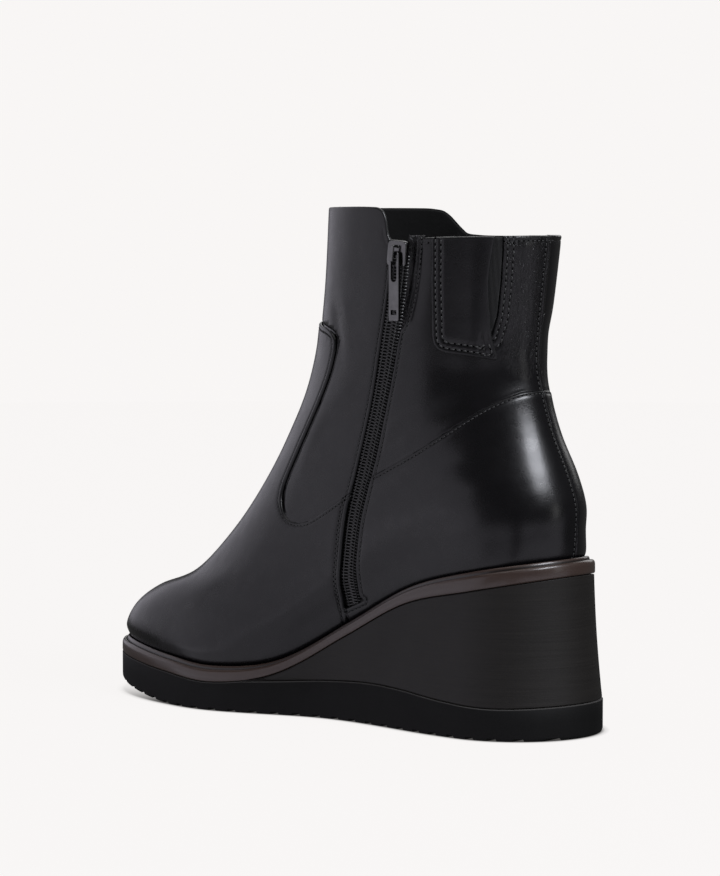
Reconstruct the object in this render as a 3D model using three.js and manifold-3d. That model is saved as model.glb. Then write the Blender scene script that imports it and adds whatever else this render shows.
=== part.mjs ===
// Ankle boot for the right foot with a high wedge, a side zip and a gore under a flap.
// Millimetres. The toe points to -X, the heel to +X, the inner side of the foot to -Y, up is +Z.
import * as THREE from 'three';
import { mergeVertices } from 'three/addons/utils/BufferGeometryUtils.js';
import Module from 'manifold-3d';

const wasm = await Module();
wasm.setup();

// Driving sizes
const soleLength = 252;
const ballHalfWidth = 47.6;
const shaftHalfWidth = 39;
const heelSeatHeight = 74.5;
const collarHeight = 217;
const gap = 0.3;
const wall = 2.0;
const overlayStep = 1.1;
const toeSpring = 7.5;
const upperTuck = 2.2;
const tuckInset = 0.3;
const weltMargin = 4.0;
const weltLedge = 1.6;
const weltLipRound = 0.3;
const insoleThick = 4.6;
const heelTaper = 3.7;
const weltThickness = 6.5;
const coreReach = 20;
const sideReach = 30;
const turnSteps = 720;
const columns = 58;
const stepsPerRow = 2;

// The sole's outline: half widths as shares of the ball's, at stations from the toe to the heel
const stations = [0, 0.14, 0.32, 0.55, 0.8, 1];
const innerShares = [0.79, 0.86, 1, 0.68, 0.8, 0.81];
const outerShares = [0.63, 0.82, 1, 0.77, 0.735, 0.725];
const toeRound = 0.2;
const heelRound = 0.16;

// Heights along the sole as shares of the heel seat's height, from the toe to the heel
const heightStations = [0, 0.1, 0.22, 0.34, 0.45, 0.58, 0.72, 0.86, 1];
const featherShares = [0.329, 0.322, 0.287, 0.258, 0.311, 0.55, 0.792, 0.918, 1];
const weltThicknesses = [1, 1.08, 1.05, 1.02, 0.86, 0.85, 0.98, 1.2, 1.11];
const partingStations = [0.36, 0.45, 0.56, 0.64, 0.72, 0.8, 0.9, 1];
const partingShares = [0.177, 0.192, 0.219, 0.232, 0.223, 0.197, 0.176, 0.188];
const springShare = 0.24;
const springPower = 1.3;
const wedgeStart = 0.39;
const taperStart = 0.45;

// The welt's profile from its lower edge over the groove to the lip: a share of its margin in from
// its outer edge, and a share of its height
const weltProfile = [[0.125, 0], [0, 0.09], [0, 0.62], [0.15, 0.74], [0.43, 0.8], [0.49, 0.66], [0.55, 0.9]];

// The upper's sections above the feather line. Each goes from its front point to its back point:
// a share of the sole's length, and a share of the way up from the feather line to the collar.
// follow is how far it follows the sole's rise, shift how far it follows the foot's curve, and
// girth goes from 0, where its half widths are shares of the ball's, to 1, shares of the shaft's.
const sections = [
  { front: [0.014, 0.029], back: [0.972, 0.067], follow: 1, rounds: [0.2, 0.16], shift: 1, girth: 0,
    halfWidths: [0.641, 0.777, 0.945, 0.683, 0.662, 0.651] },
  { front: [0.042, 0.078], back: [0.972, 0.144], follow: 0.95, rounds: [0.2, 0.17], shift: 0.95, girth: 0,
    halfWidths: [0.651, 0.767, 0.914, 0.746, 0.693, 0.662] },
  { front: [0.091, 0.119], back: [0.954, 0.235], follow: 0.8, rounds: [0.24, 0.18], shift: 0.85, girth: 0,
    halfWidths: [0.63, 0.725, 0.84, 0.756, 0.714, 0.651] },
  { front: [0.173, 0.158], back: [0.925, 0.347], follow: 0.5, rounds: [0.3, 0.22], shift: 0.7, girth: 0.3,
    halfWidths: [0.644, 0.711, 0.8, 0.811, 0.733, 0.644] },
  { front: [0.252, 0.247], back: [0.905, 0.453], follow: 0.3, rounds: [0.35, 0.28], shift: 0.5, girth: 0.6,
    halfWidths: [0.683, 0.73, 0.801, 0.872, 0.801, 0.683] },
  { front: [0.317, 0.345], back: [0.897, 0.544], follow: 0.1, rounds: [0.4, 0.35], shift: 0.3, girth: 1,
    halfWidths: [0.769, 0.795, 0.872, 0.962, 0.936, 0.795] },
  { front: [0.380, 0.465], back: [0.900, 0.642], follow: 0, rounds: [0.45, 0.42], shift: 0.15, girth: 1,
    halfWidths: [0.821, 0.846, 0.923, 0.974, 0.949, 0.846] },
  { front: [0.435, 0.610], back: [0.906, 0.733], follow: 0, rounds: [0.5, 0.5], shift: 0, girth: 1,
    halfWidths: [0.872, 0.897, 0.949, 1, 0.974, 0.923] },
  { front: [0.465, 0.792], back: [0.912, 0.825], follow: 0, rounds: [0.5, 0.5], shift: 0, girth: 1,
    halfWidths: [0.923, 0.949, 0.974, 1, 0.974, 0.949] },
  { front: [0.480, 1.031], back: [0.922, 0.972], follow: 0, rounds: [0.5, 0.5], shift: 0, girth: 1,
    halfWidths: [0.974, 0.974, 1, 1, 1, 0.974] },
];
const footCurve = [-0.08, -0.02, 0.01, 0.03, -0.03, -0.05];

// Lines on the upper, seen from the side: a share of the sole's length, and a share of the way up
// from the feather line to the collar
const innerCollar = [[0.381, 1.000], [0.579, 1.001], [0.659, 1.000], [0.681, 0.996], [0.693, 0.981],
  [0.697, 0.956], [0.702, 0.919], [0.714, 0.915], [0.798, 0.918], [0.897, 0.918], [1.016, 0.919]];
const outerCollar = [[0.381, 1.000], [0.540, 1.000], [0.583, 0.997], [0.603, 0.986], [0.631, 0.944],
  [0.651, 0.931], [0.738, 0.923], [1.016, 0.919]];
const vampSeam = [[0.444, 0.756], [0.500, 0.734], [0.548, 0.711], [0.566, 0.691], [0.569, 0.668],
  [0.563, 0.635], [0.551, 0.595], [0.524, 0.533], [0.483, 0.461], [0.453, 0.401], [0.447, 0.364],
  [0.458, 0.327], [0.480, 0.299], [0.515, 0.282], [0.554, 0.285], [0.597, 0.298]];
const counterSeam = [[0.655, 0.322], [0.680, 0.326], [0.744, 0.350], [0.802, 0.395], [0.853, 0.448],
  [0.884, 0.475], [0.901, 0.484], [0.956, 0.487]];
const zipLine = [[0.598, 0.009], [0.599, 0.095], [0.615, 0.229], [0.640, 0.332], [0.671, 0.468],
  [0.698, 0.626], [0.714, 0.748], [0.724, 0.860], [0.728, 0.930]];
const slotHalfWidth = 4.0;
const slotLowEnd = [[0.579, 0.036], [0.62, 0.03]];
const slotFlare = [[0.696, 0.657], [0.729, 0.688], [0.744, 0.763], [0.752, 0.826], [0.759, 0.942],
  [0.722, 0.943], [0.706, 0.768]];
const chainHalfWidth = 3.3;
const chainSink = 0.05;
const tapeHalfWidth = 10;
const tapeThick = 0.8;
const zipEndRise = 0.8;
const goreMargin = 0.5;
const goreThick = 1.4;
const flapThick = 1.2;
const goreMiddle = [0.849, 0.806];
const gorePanel = [[0.817, 0.954], [0.817, 0.702], [0.829, 0.654], [0.860, 0.643], [0.869, 0.696],
  [0.877, 0.790], [0.882, 0.871], [0.885, 0.952]];
const flapPanel = [[0.784, 0.954], [0.780, 0.791], [0.779, 0.648], [0.783, 0.623], [0.796, 0.608],
  [0.833, 0.593], [0.867, 0.574], [0.863, 0.636], [0.865, 0.744], [0.869, 0.804], [0.875, 0.858],
  [0.882, 0.953]];

// Slider and pull
const sliderPoint = [0.725, 0.879];
const sliderTurn = 7;
const sliderLean = 5;
const sliderBody = { width: 9, length: 10.5, thick: 2.4, lift: -0.25 };
const bridge = { reach: 3.4, rise: 2.9, thick: 0.9, width: 1.5, leg: 1, root: 0.3 };
const pull = {
  width: 4.7, length: 28.4, thick: 1.5, slot: 2.7, slotLength: 11, window: 2, end: 2.4, corner: 0.7,
};

// Tread bars under the sole, and the sole's edges
const barPitch = 9.5;
const barGroove = 3.5;
const barDepth = 1.2;
const soleEdge = 0.9;
const soleInset = 0.4;

// A smooth curve through a table's values, with level slopes worked out from the neighbours
function smooth(places, values, at) {
  const last = places.length - 1;
  const place = Math.min(Math.max(at, places[0]), places[last]);
  let i = 0;
  while (i < last - 1 && place >= places[i + 1]) i += 1;
  const slope = (k) => {
    const before = Math.max(0, k - 1);
    const after = Math.min(last, k + 1);
    return (values[after] - values[before]) / (places[after] - places[before]);
  };
  const width = places[i + 1] - places[i];
  const t = (place - places[i]) / width;
  const start = (2 * t ** 3 - 3 * t ** 2 + 1) * values[i] + (t ** 3 - 2 * t ** 2 + t) * width * slope(i);
  const end = (3 * t ** 2 - 2 * t ** 3) * values[i + 1] + (t ** 3 - t ** 2) * width * slope(i + 1);
  return start + end;
}

// 1 along the middle of a section, falling to 0 at both ends as an ellipse does
function endRound(share, front, back) {
  const toFront = Math.min(1, share / front);
  const toBack = Math.min(1, (1 - share) / back);
  return Math.sqrt(1 - (1 - toFront) ** 2) * Math.sqrt(1 - (1 - toBack) ** 2);
}

const feather = (share) => smooth(heightStations, featherShares, share) * heelSeatHeight;
const weltHeight = (share) => smooth(heightStations, weltThicknesses, share) * weltThickness;
const weltBottom = (share) => feather(share) - weltHeight(share);
const parting = (share) => smooth(partingStations, partingShares, share) * heelSeatHeight;
const outsoleTop = (share) => (share < wedgeStart ? weltBottom(share) - gap : parting(share));
const floorHeight = (share) => toeSpring * Math.max(0, 1 - share / springShare) ** springPower;
const taper = (share) => heelTaper * Math.max(0, (share - taperStart) / (1 - taperStart));

// Angles round an outline: 0 at the toe, half a turn at the heel, the inner side first
const fullTurn = Array.from({ length: columns }, (_, k) => (2 * Math.PI * k) / columns);
const shareAt = (angle) => (1 - Math.cos(angle)) / 2;

function outlinePoint(angle) {
  const share = shareAt(angle);
  const inner = Math.sin(angle) >= 0;
  const widths = smooth(stations, inner ? innerShares : outerShares, share) * ballHalfWidth;
  return [soleLength * (share - 0.5), (inner ? -1 : 1) * widths * endRound(share, toeRound, heelRound)];
}

const fineTurn = Array.from({ length: turnSteps }, (_, k) => (2 * Math.PI * k) / turnSteps);
const fineSides = fineTurn.map((angle) => outlinePoint(angle)[1]);
const outlineMiddle = (Math.min(...fineSides) + Math.max(...fineSides)) / 2;

// A loop round the sole's outline, moved in by inset(share), at the height there
function outlineLoop(inset, height, angles = fullTurn) {
  const reach = 0.02;
  return angles.map((angle) => {
    const share = shareAt(angle);
    const here = outlinePoint(angle);
    const before = outlinePoint(angle - reach);
    const after = outlinePoint(angle + reach);
    const run = [after[0] - before[0], after[1] - before[1]];
    const long = Math.hypot(...run);
    const depth = inset(share);
    const x = here[0] - (run[1] / long) * depth;
    const y = here[1] + (run[0] / long) * depth - outlineMiddle;
    return [x, y, height(x / soleLength + 0.5)];
  });
}

// Geometry of a solid whose loops follow each other; it closes on itself as a ring or with its two ends
function loft(loops, ring, tip = true) {
  const count = loops[0].length;
  const points = loops.flat(2);
  const faces = [];
  const at = (loop, k) => (loop % loops.length) * count + (k % count);
  const bands = ring ? loops.length : loops.length - 1;
  for (let loop = 0; loop < bands; loop += 1) {
    for (let k = 0; k < count; k += 1) {
      faces.push(at(loop, k), at(loop, k + 1), at(loop + 1, k + 1));
      faces.push(at(loop, k), at(loop + 1, k + 1), at(loop + 1, k));
    }
  }
  // An end is closed by strips straight across the foot
  const across = (loop, flip) => {
    const face = (a, b, c) => {
      if (a === b || b === c || a === c) return;
      const [p, q, r] = [a, b, c].map((k) => at(loop, k));
      faces.push(...(flip ? [p, r, q] : [p, q, r]));
    };
    const mirror = (k) => (tip ? (count - k) % count : count - 1 - k);
    const half = tip ? count / 2 : (count - 1) / 2;
    for (let k = 0; k < half; k += 1) {
      face(k, mirror(k), mirror(k + 1));
      face(k, mirror(k + 1), k + 1);
    }
  };
  if (!ring) {
    across(0, false);
    across(loops.length - 1, true);
  }
  const geometry = new THREE.BufferGeometry();
  geometry.setAttribute('position', new THREE.Float32BufferAttribute(points, 3));
  geometry.setIndex(faces);
  return geometry;
}

function volumeOf(geometry) {
  const place = geometry.attributes.position;
  const order = geometry.index.array;
  const corner = [new THREE.Vector3(), new THREE.Vector3(), new THREE.Vector3()];
  let total = 0;
  for (let k = 0; k < order.length; k += 3) {
    corner.forEach((point, c) => point.fromBufferAttribute(place, order[k + c]));
    total += corner[0].dot(corner[1].cross(corner[2]));
  }
  return total / 6;
}

function solid(geometry) {
  const bare = geometry.clone();
  bare.deleteAttribute('normal');
  bare.deleteAttribute('uv');
  const merged = mergeVertices(bare, 1e-4);
  const order = new Uint32Array(merged.index.array);
  if (volumeOf(merged) < 0) {
    for (let k = 0; k < order.length; k += 3) [order[k + 1], order[k + 2]] = [order[k + 2], order[k + 1]];
  }
  return new wasm.Manifold(new wasm.Mesh({
    numProp: 3,
    vertProperties: new Float32Array(merged.attributes.position.array),
    triVerts: order,
  }));
}

function geometryOf(body) {
  const mesh = body.getMesh();
  const geometry = new THREE.BufferGeometry();
  geometry.setAttribute('position', new THREE.BufferAttribute(new Float32Array(mesh.vertProperties), 3));
  geometry.setIndex(new THREE.BufferAttribute(new Uint32Array(mesh.triVerts), 1));
  geometry.computeVertexNormals();
  return geometry;
}

// All that lies inside a side view's outline, between two Y places
function sideSolid(outline, from, to) {
  const shape = new THREE.Shape(outline.map(([x, z]) => new THREE.Vector2(x, z)));
  const geometry = new THREE.ExtrudeGeometry(shape, { depth: to - from, bevelEnabled: false });
  geometry.rotateX(Math.PI / 2);
  geometry.translate(0, to, 0);
  return solid(geometry);
}

function curveThrough(points, count) {
  const curve = new THREE.SplineCurve(points.map(([x, z]) => new THREE.Vector2(x, z)));
  return curve.getPoints(count).map((point) => [point.x, point.y]);
}

// From shares along the sole and up the boot to X and Z
const sidePoint = ([along, up]) => [
  soleLength * (along - 0.5),
  feather(along) + up * (collarHeight - feather(along)),
];
const sideLine = (line) => line.map(sidePoint);

// The two edges of a strip that follows a line at a half width
function stripEdges(line, halfWidth) {
  const edge = (side) => line.map((point, k) => {
    const before = line[Math.max(0, k - 1)];
    const after = line[Math.min(line.length - 1, k + 1)];
    const run = [after[0] - before[0], after[1] - before[1]];
    const long = Math.hypot(...run);
    return [point[0] + (side * halfWidth * run[1]) / long, point[1] - (side * halfWidth * run[0]) / long];
  });
  return [edge(-1), edge(1)];
}

// The upper's loops, from the tucked edge under the feather line to above the collar
const leatherInset = (share) => taper(share) + weltMargin;
const sectionLoops = [
  outlineLoop((share) => leatherInset(share) + tuckInset, (share) => feather(share) - upperTuck),
  outlineLoop(leatherInset, feather),
];
const featherRun = (share) => feather(share) - feather(0) - (feather(1) - feather(0)) * share;
for (const section of sections) {
  const [frontX, frontZ] = [sidePoint([section.front[0], 0])[0], sidePoint([0, section.front[1]])[1]];
  const [backX, backZ] = [sidePoint([section.back[0], 0])[0], sidePoint([1, section.back[1]])[1]];
  const halfGirth = ballHalfWidth + (shaftHalfWidth - ballHalfWidth) * section.girth;
  sectionLoops.push(fullTurn.map((angle) => {
    const share = shareAt(angle);
    const rounded = endRound(share, ...section.rounds) * halfGirth;
    const half = smooth(stations, section.halfWidths, share) * rounded;
    const middle = smooth(stations, footCurve, share) * ballHalfWidth * section.shift;
    return [
      frontX + (backX - frontX) * share,
      middle + (Math.sin(angle) >= 0 ? -half : half),
      frontZ + (backZ - frontZ) * share + section.follow * featherRun(share),
    ];
  }));
}

const sectionPlaces = sectionLoops.map((_, k) => k);
const rowCount = (sectionLoops.length - 2) * stepsPerRow;
const rowPlaces = [0, ...Array.from({ length: rowCount + 1 }, (_, k) => 1 + k / stepsPerRow)];
const upperGrid = rowPlaces.map((row) => fullTurn.map((_, k) => [0, 1, 2].map((axis) => {
  if (row <= 1) return sectionLoops[row][k][axis];
  const values = sectionLoops.slice(1).map((loop) => loop[k][axis]);
  return smooth(sectionPlaces.slice(1), values, row);
})));

const upperNormals = upperGrid.map((loop, row) => loop.map((_, k) => {
  const point = (r, c) => new THREE.Vector3(...upperGrid[r][(c + columns) % columns]);
  const above = Math.min(upperGrid.length - 1, row + 1);
  const below = row < 2 ? row : row - 1;
  const round = point(row, k + 1).sub(point(row, k - 1));
  const up = point(above, k).sub(point(below, k));
  if (row === 0) up.set(0, 0, 1);
  return round.cross(up).normalize();
}));

// All that lies inside the upper's surface moved out by an offset
function formLoops(offset) {
  return upperGrid.map((loop, row) => loop.map((point, k) => {
    const normal = upperNormals[row][k];
    return [point[0] + normal.x * offset, point[1] + normal.y * offset, point[2] + normal.z * offset];
  }));
}
const form = (offset, firstLoop = 0) => solid(loft(formLoops(offset).slice(firstLoop), false));
const moved = (loop, rise) => loop.map(([x, y, z]) => [x, y, z + rise]);
function core(offset) {
  const loops = formLoops(offset);
  return solid(loft([moved(loops[0], -coreReach), ...loops, moved(loops.at(-1), coreReach)], false));
}
const layer = (outside, inside) => form(outside).subtract(core(inside));

const shaftFace = -overlayStep / 2;
const overlayFace = overlayStep / 2;
const insideFace = shaftFace - wall;
const farSide = ballHalfWidth + sideReach;
const nearMiddle = 5;
const aboveAll = collarHeight + coreReach;
const beyondToe = -soleLength / 2 - coreReach;
const beyondHeel = soleLength / 2 + coreReach;

function collarCut(line, from, to) {
  const edge = curveThrough(sideLine(line), 32);
  return sideSolid([...edge, [edge.at(-1)[0], aboveAll], [edge[0][0], aboveAll]], from, to);
}
const collarWaste = collarCut(innerCollar, -farSide, gap).add(collarCut(outerCollar, 0, farSide));

// Upper: one hollow wall, thicker below the vamp's and the counter's edge
const vampEdge = curveThrough(sideLine(vampSeam), 40);
const counterEdge = curveThrough(sideLine(counterSeam), 16);
const overlayArea = sideSolid([[beyondToe, 0], [beyondToe, vampEdge[0][1]], ...vampEdge, ...counterEdge,
  [beyondHeel, counterEdge.at(-1)[1]], [beyondHeel, 0]], -farSide, farSide);
const shell = solid(loft([...formLoops(shaftFace), ...formLoops(insideFace).reverse()], true));
const overlay = form(overlayFace, 1).subtract(core(insideFace + wall / 2)).intersect(overlayArea);

const zipCurve = curveThrough(sideLine(zipLine), 30);
const [slotFront, slotBack] = stripEdges(zipCurve, slotHalfWidth);
const slotCorners = sideLine(slotLowEnd);
const overCorners = ([, z]) => z > slotCorners[1][1] + 1;
const slotFrontEdge = slotFront.filter(overCorners).reverse();
const slotOutline = [...slotFrontEdge, ...slotCorners, ...slotBack.filter(overCorners)];
const innerSide = (outline) => sideSolid(outline, -farSide, -nearMiddle);
const slot = innerSide(slotOutline).add(innerSide(sideLine(slotFlare)));
const goreOutline = sideLine(gorePanel);
const goreCut = innerSide(goreOutline);

const upper = shell.add(overlay).subtract(slot).subtract(goreCut).subtract(collarWaste);

// Elastic gore in its opening, and the flap over it
const inward = ([x, z], middle, by) => {
  const run = [middle[0] - x, middle[1] - z];
  const long = Math.hypot(...run);
  return [x + (run[0] / long) * by, z + (run[1] / long) * by];
};
const goreInner = goreOutline.map((point) => inward(point, sidePoint(goreMiddle), goreMargin));
const goreFace = shaftFace - gap;
const gore = layer(goreFace, goreFace - goreThick).intersect(innerSide(goreInner)).subtract(collarWaste);
const flapBack = shaftFace + gap;
const flapArea = innerSide(sideLine(flapPanel));
const flap = layer(flapBack + flapThick, flapBack).intersect(flapArea).subtract(collarWaste);

// Zip: the tape behind the leather and the chain standing in the slot
const tapeFace = insideFace - gap;
const stripArea = (halfWidth) => {
  const [front, back] = stripEdges(zipCurve, halfWidth);
  return innerSide([...front.reverse(), ...back]);
};
const zipTop = sidePoint(sliderPoint)[1] + sliderBody.length * 0.4;
const overZip = innerSide([[beyondToe, zipTop], [beyondHeel, zipTop], [beyondHeel, aboveAll],
  [beyondToe, aboveAll]]);
const [lowFront, lowBack] = slotCorners.map(([x, z]) => [x, z + zipEndRise]);
const underZip = innerSide([[beyondToe, 0], [beyondHeel, 0], [beyondHeel, lowBack[1]], lowBack, lowFront,
  [beyondToe, lowFront[1]]]);
const tape = layer(tapeFace, tapeFace - tapeThick).intersect(stripArea(tapeHalfWidth));
const chain = layer(shaftFace - chainSink, tapeFace - tapeThick / 2).intersect(stripArea(chainHalfWidth));
const zipTape = tape.add(chain).subtract(overZip).subtract(underZip);

// Welt: a ring with an outer band, a groove and a lip beside the leather
const lipInner = weltMargin - overlayFace - gap;
const weltInner = weltMargin - insideFace + weltLedge;
const weltAt = (depth, up, rise = 0) => outlineLoop(
  (share) => taper(share) + depth,
  (share) => weltBottom(share) + weltHeight(share) * up + rise,
);
const weltLoops = [
  weltAt(weltInner, 0),
  ...weltProfile.map(([depth, up]) => weltAt(weltMargin * depth, up)),
  weltAt(lipInner - weltLipRound, 1),
  weltAt(lipInner, 1, -weltLipRound),
  weltAt(lipInner, 1, -upperTuck - gap),
  weltAt(weltInner, 1, -upperTuck - gap),
];

// Sole pieces
const wedgeTurn = fullTurn.filter((angle) => shareAt(angle) >= wedgeStart);
const wedge = solid(loft([
  outlineLoop(() => soleInset, (share) => parting(share) + gap, wedgeTurn),
  outlineLoop((share) => gap + taper(share), (share) => weltBottom(share) - gap, wedgeTurn),
], false, false));
const outsoleLoops = [
  outlineLoop(() => soleEdge, floorHeight),
  outlineLoop(() => 0, (share) => floorHeight(share) + soleEdge),
  outlineLoop(() => soleInset, outsoleTop),
];
const grooves = [];
for (let x = -soleLength / 2 + barPitch; x < soleLength / 2 - barGroove; x += barPitch) {
  const top = floorHeight(x / soleLength + 0.5) + barDepth;
  const cutter = new THREE.BoxGeometry(barGroove, 2 * farSide, farSide);
  cutter.translate(x, 0, top - farSide / 2);
  grooves.push(solid(cutter));
}
const outsole = grooves.reduce((rest, groove) => rest.subtract(groove), solid(loft(outsoleLoops, false)));

const insoleInset = (share) => taper(share) + weltInner + gap;
const insole = solid(loft([
  outlineLoop(insoleInset, weltBottom),
  outlineLoop(insoleInset, (share) => weltBottom(share) + insoleThick),
], false));

// The upper's inner side at a point seen from the side
function surfaceSide([x, z]) {
  for (let row = 1; row < upperGrid.length - 1; row += 1) {
    for (let k = 0; k < columns / 2; k += 1) {
      const [a, b] = [upperGrid[row][k], upperGrid[row][k + 1]];
      const [d, c] = [upperGrid[row + 1][k], upperGrid[row + 1][k + 1]];
      for (const [p, q, r] of [[a, b, c], [a, c, d]]) {
        const area = (q[0] - p[0]) * (r[2] - p[2]) - (r[0] - p[0]) * (q[2] - p[2]);
        const toR = ((q[0] - p[0]) * (z - p[2]) - (x - p[0]) * (q[2] - p[2])) / area;
        const toQ = ((x - p[0]) * (r[2] - p[2]) - (r[0] - p[0]) * (z - p[2])) / area;
        if (toR >= 0 && toQ >= 0 && toR + toQ <= 1) return p[1] + toQ * (q[1] - p[1]) + toR * (r[1] - p[1]);
      }
    }
  }
  return -shaftHalfWidth;
}

// Slider: a body on the chain with a bridge that holds the pull's bar
const [sliderX, sliderZ] = sidePoint(sliderPoint);
const sliderY = surfaceSide([sliderX, sliderZ]);
function sliderFrame(geometry) {
  geometry.rotateY(THREE.MathUtils.degToRad(sliderLean));
  geometry.rotateZ(THREE.MathUtils.degToRad(sliderTurn));
  geometry.translate(sliderX, sliderY, sliderZ);
  return geometry;
}
function block(width, depth, length, x, y, z) {
  const geometry = new THREE.BoxGeometry(width, depth, length);
  geometry.translate(x, y, z);
  return geometry;
}
const bodyShape = new THREE.Shape();
const halfBody = sliderBody.width / 2;
const halfLength = sliderBody.length / 2;
bodyShape.moveTo(-halfBody * 0.75, -halfLength);
bodyShape.lineTo(halfBody * 0.75, -halfLength);
bodyShape.quadraticCurveTo(halfBody, -halfLength, halfBody, -halfLength * 0.6);
bodyShape.lineTo(halfBody, halfLength * 0.5);
bodyShape.quadraticCurveTo(halfBody, halfLength, halfBody * 0.5, halfLength);
bodyShape.lineTo(-halfBody * 0.5, halfLength);
bodyShape.quadraticCurveTo(-halfBody, halfLength, -halfBody, halfLength * 0.5);
bodyShape.lineTo(-halfBody, -halfLength * 0.6);
bodyShape.quadraticCurveTo(-halfBody, -halfLength, -halfBody * 0.75, -halfLength);
const bodyPlate = new THREE.ExtrudeGeometry(bodyShape, {
  depth: sliderBody.thick, bevelEnabled: false, curveSegments: 4,
});
bodyPlate.rotateX(Math.PI / 2);
bodyPlate.translate(0, -sliderBody.lift, 0);
const bodyFace = -sliderBody.lift - sliderBody.thick;
const legLong = bridge.rise + bridge.thick + bridge.root;
const legMiddle = bodyFace + bridge.root - legLong / 2;
const legPlace = bridge.reach - bridge.leg / 2;
const sliderPieces = [
  block(bridge.width, bridge.thick, 2 * bridge.reach, 0, bodyFace - bridge.rise - bridge.thick / 2, 0),
  block(bridge.width, legLong, bridge.leg, 0, legMiddle, legPlace),
  block(bridge.width, legLong, bridge.leg, 0, legMiddle, -legPlace),
].map((piece) => solid(sliderFrame(piece)));
const slider = sliderPieces.reduce((rest, piece) => rest.add(piece), solid(sliderFrame(bodyPlate)));

// Pull: a flat tab with a long slot at its top and a small window near its end
const pullShape = new THREE.Shape();
const halfPull = pull.width / 2;
const pullTop = pull.thick / 2;
const pullEnd = pullTop - pull.length;
pullShape.moveTo(-halfPull + pull.corner, pullEnd);
pullShape.lineTo(halfPull - pull.corner, pullEnd);
pullShape.quadraticCurveTo(halfPull, pullEnd, halfPull, pullEnd + pull.corner);
pullShape.lineTo(halfPull, pullTop - pull.corner);
pullShape.lineTo(halfPull - pull.corner, pullTop);
pullShape.lineTo(-halfPull + pull.corner, pullTop);
pullShape.lineTo(-halfPull, pullTop - pull.corner);
pullShape.lineTo(-halfPull, pullEnd + pull.corner);
pullShape.quadraticCurveTo(-halfPull, pullEnd, -halfPull + pull.corner, pullEnd);
const slotHole = new THREE.Path();
const halfSlot = pull.slot / 2;
const slotEnd = -pullTop - pull.slotLength;
slotHole.moveTo(-halfSlot, -pullTop);
slotHole.lineTo(-halfSlot, slotEnd + halfSlot);
slotHole.absarc(0, slotEnd + halfSlot, halfSlot, Math.PI, 2 * Math.PI, false);
slotHole.lineTo(halfSlot, -pullTop);
slotHole.closePath();
const windowHole = new THREE.Path();
const windowLow = pullEnd + pull.end;
windowHole.moveTo(-halfSlot, windowLow);
windowHole.lineTo(-halfSlot, windowLow + pull.window);
windowHole.lineTo(halfSlot, windowLow + pull.window);
windowHole.lineTo(halfSlot, windowLow);
windowHole.closePath();
pullShape.holes.push(slotHole, windowHole);
const pullGeometry = new THREE.ExtrudeGeometry(pullShape, {
  depth: pull.thick, bevelEnabled: false, curveSegments: 5,
});
pullGeometry.rotateX(Math.PI / 2);
pullGeometry.translate(0, pull.thick / 2, 0);
const pinDepth = bodyFace - bridge.rise / 2;
const turn = THREE.MathUtils.degToRad(sliderTurn);
const pin = [sliderX - Math.sin(turn) * pinDepth, sliderY + Math.cos(turn) * pinDepth, sliderZ];

const leather = { color: 0x2b2b2f, roughness: 0.42, metalness: 0 };
const metal = { color: 0x161618, roughness: 0.22, metalness: 0.6 };
const group = new THREE.Group();
function add(name, geometry, look, place = [0, 0, 0], turned = 0) {
  const mesh = new THREE.Mesh(geometry, new THREE.MeshStandardMaterial(look));
  mesh.name = name;
  mesh.position.set(...place);
  mesh.rotation.z = turned;
  group.add(mesh);
}
add('outsole', geometryOf(outsole), { color: 0x18181a, roughness: 0.75, metalness: 0 });
add('wedge', geometryOf(wedge), { color: 0x1e1b1a, roughness: 0.6, metalness: 0 });
add('welt', geometryOf(solid(loft(weltLoops, true))), { color: 0x463a38, roughness: 0.5, metalness: 0 });
add('insole', geometryOf(insole), { color: 0x1a1a1c, roughness: 0.7, metalness: 0 });
add('upper', geometryOf(upper), leather);
add('gore_elastic', geometryOf(gore), { color: 0x101012, roughness: 0.85, metalness: 0 });
add('gore_flap', geometryOf(flap), leather);
add('zip_tape', geometryOf(zipTape), { color: 0x121214, roughness: 0.7, metalness: 0 });
add('zip_slider', geometryOf(slider), metal);
add('pull_tab', geometryOf(solid(pullGeometry)), metal, pin, turn);

export default group;
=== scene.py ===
import math

import bmesh
import bpy
import numpy as np
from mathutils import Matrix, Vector


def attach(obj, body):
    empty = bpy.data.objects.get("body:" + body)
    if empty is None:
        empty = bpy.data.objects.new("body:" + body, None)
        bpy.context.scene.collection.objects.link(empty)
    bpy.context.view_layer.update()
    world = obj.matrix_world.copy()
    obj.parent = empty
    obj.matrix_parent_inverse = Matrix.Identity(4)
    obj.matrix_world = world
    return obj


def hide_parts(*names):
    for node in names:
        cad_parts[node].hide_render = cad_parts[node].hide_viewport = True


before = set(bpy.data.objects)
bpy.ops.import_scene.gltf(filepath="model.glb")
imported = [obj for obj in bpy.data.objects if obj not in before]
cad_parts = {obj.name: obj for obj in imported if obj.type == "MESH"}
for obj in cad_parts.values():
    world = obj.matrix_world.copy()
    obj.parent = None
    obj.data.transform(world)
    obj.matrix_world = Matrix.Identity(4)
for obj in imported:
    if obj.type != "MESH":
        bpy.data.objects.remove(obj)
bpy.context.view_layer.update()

# Black ankle boot for the right foot on a high wedge. Sizes are in millimetres until a mesh is made.
MM = 0.001

# Camera of the photograph: the boot is seen from its inner side and from behind
VIEW_TURN = math.radians(39.3)
VIEW_DOWN = math.radians(3.87)
VIEW_RUN = 1328
VIEW_HEIGHT = 207.3
VIEW_ASIDE = 3.4
VIEW_LENS = 126.2


def new_object(name, data):
    made = bpy.data.objects.new(name, data)
    bpy.context.scene.collection.objects.link(made)
    return made


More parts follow.
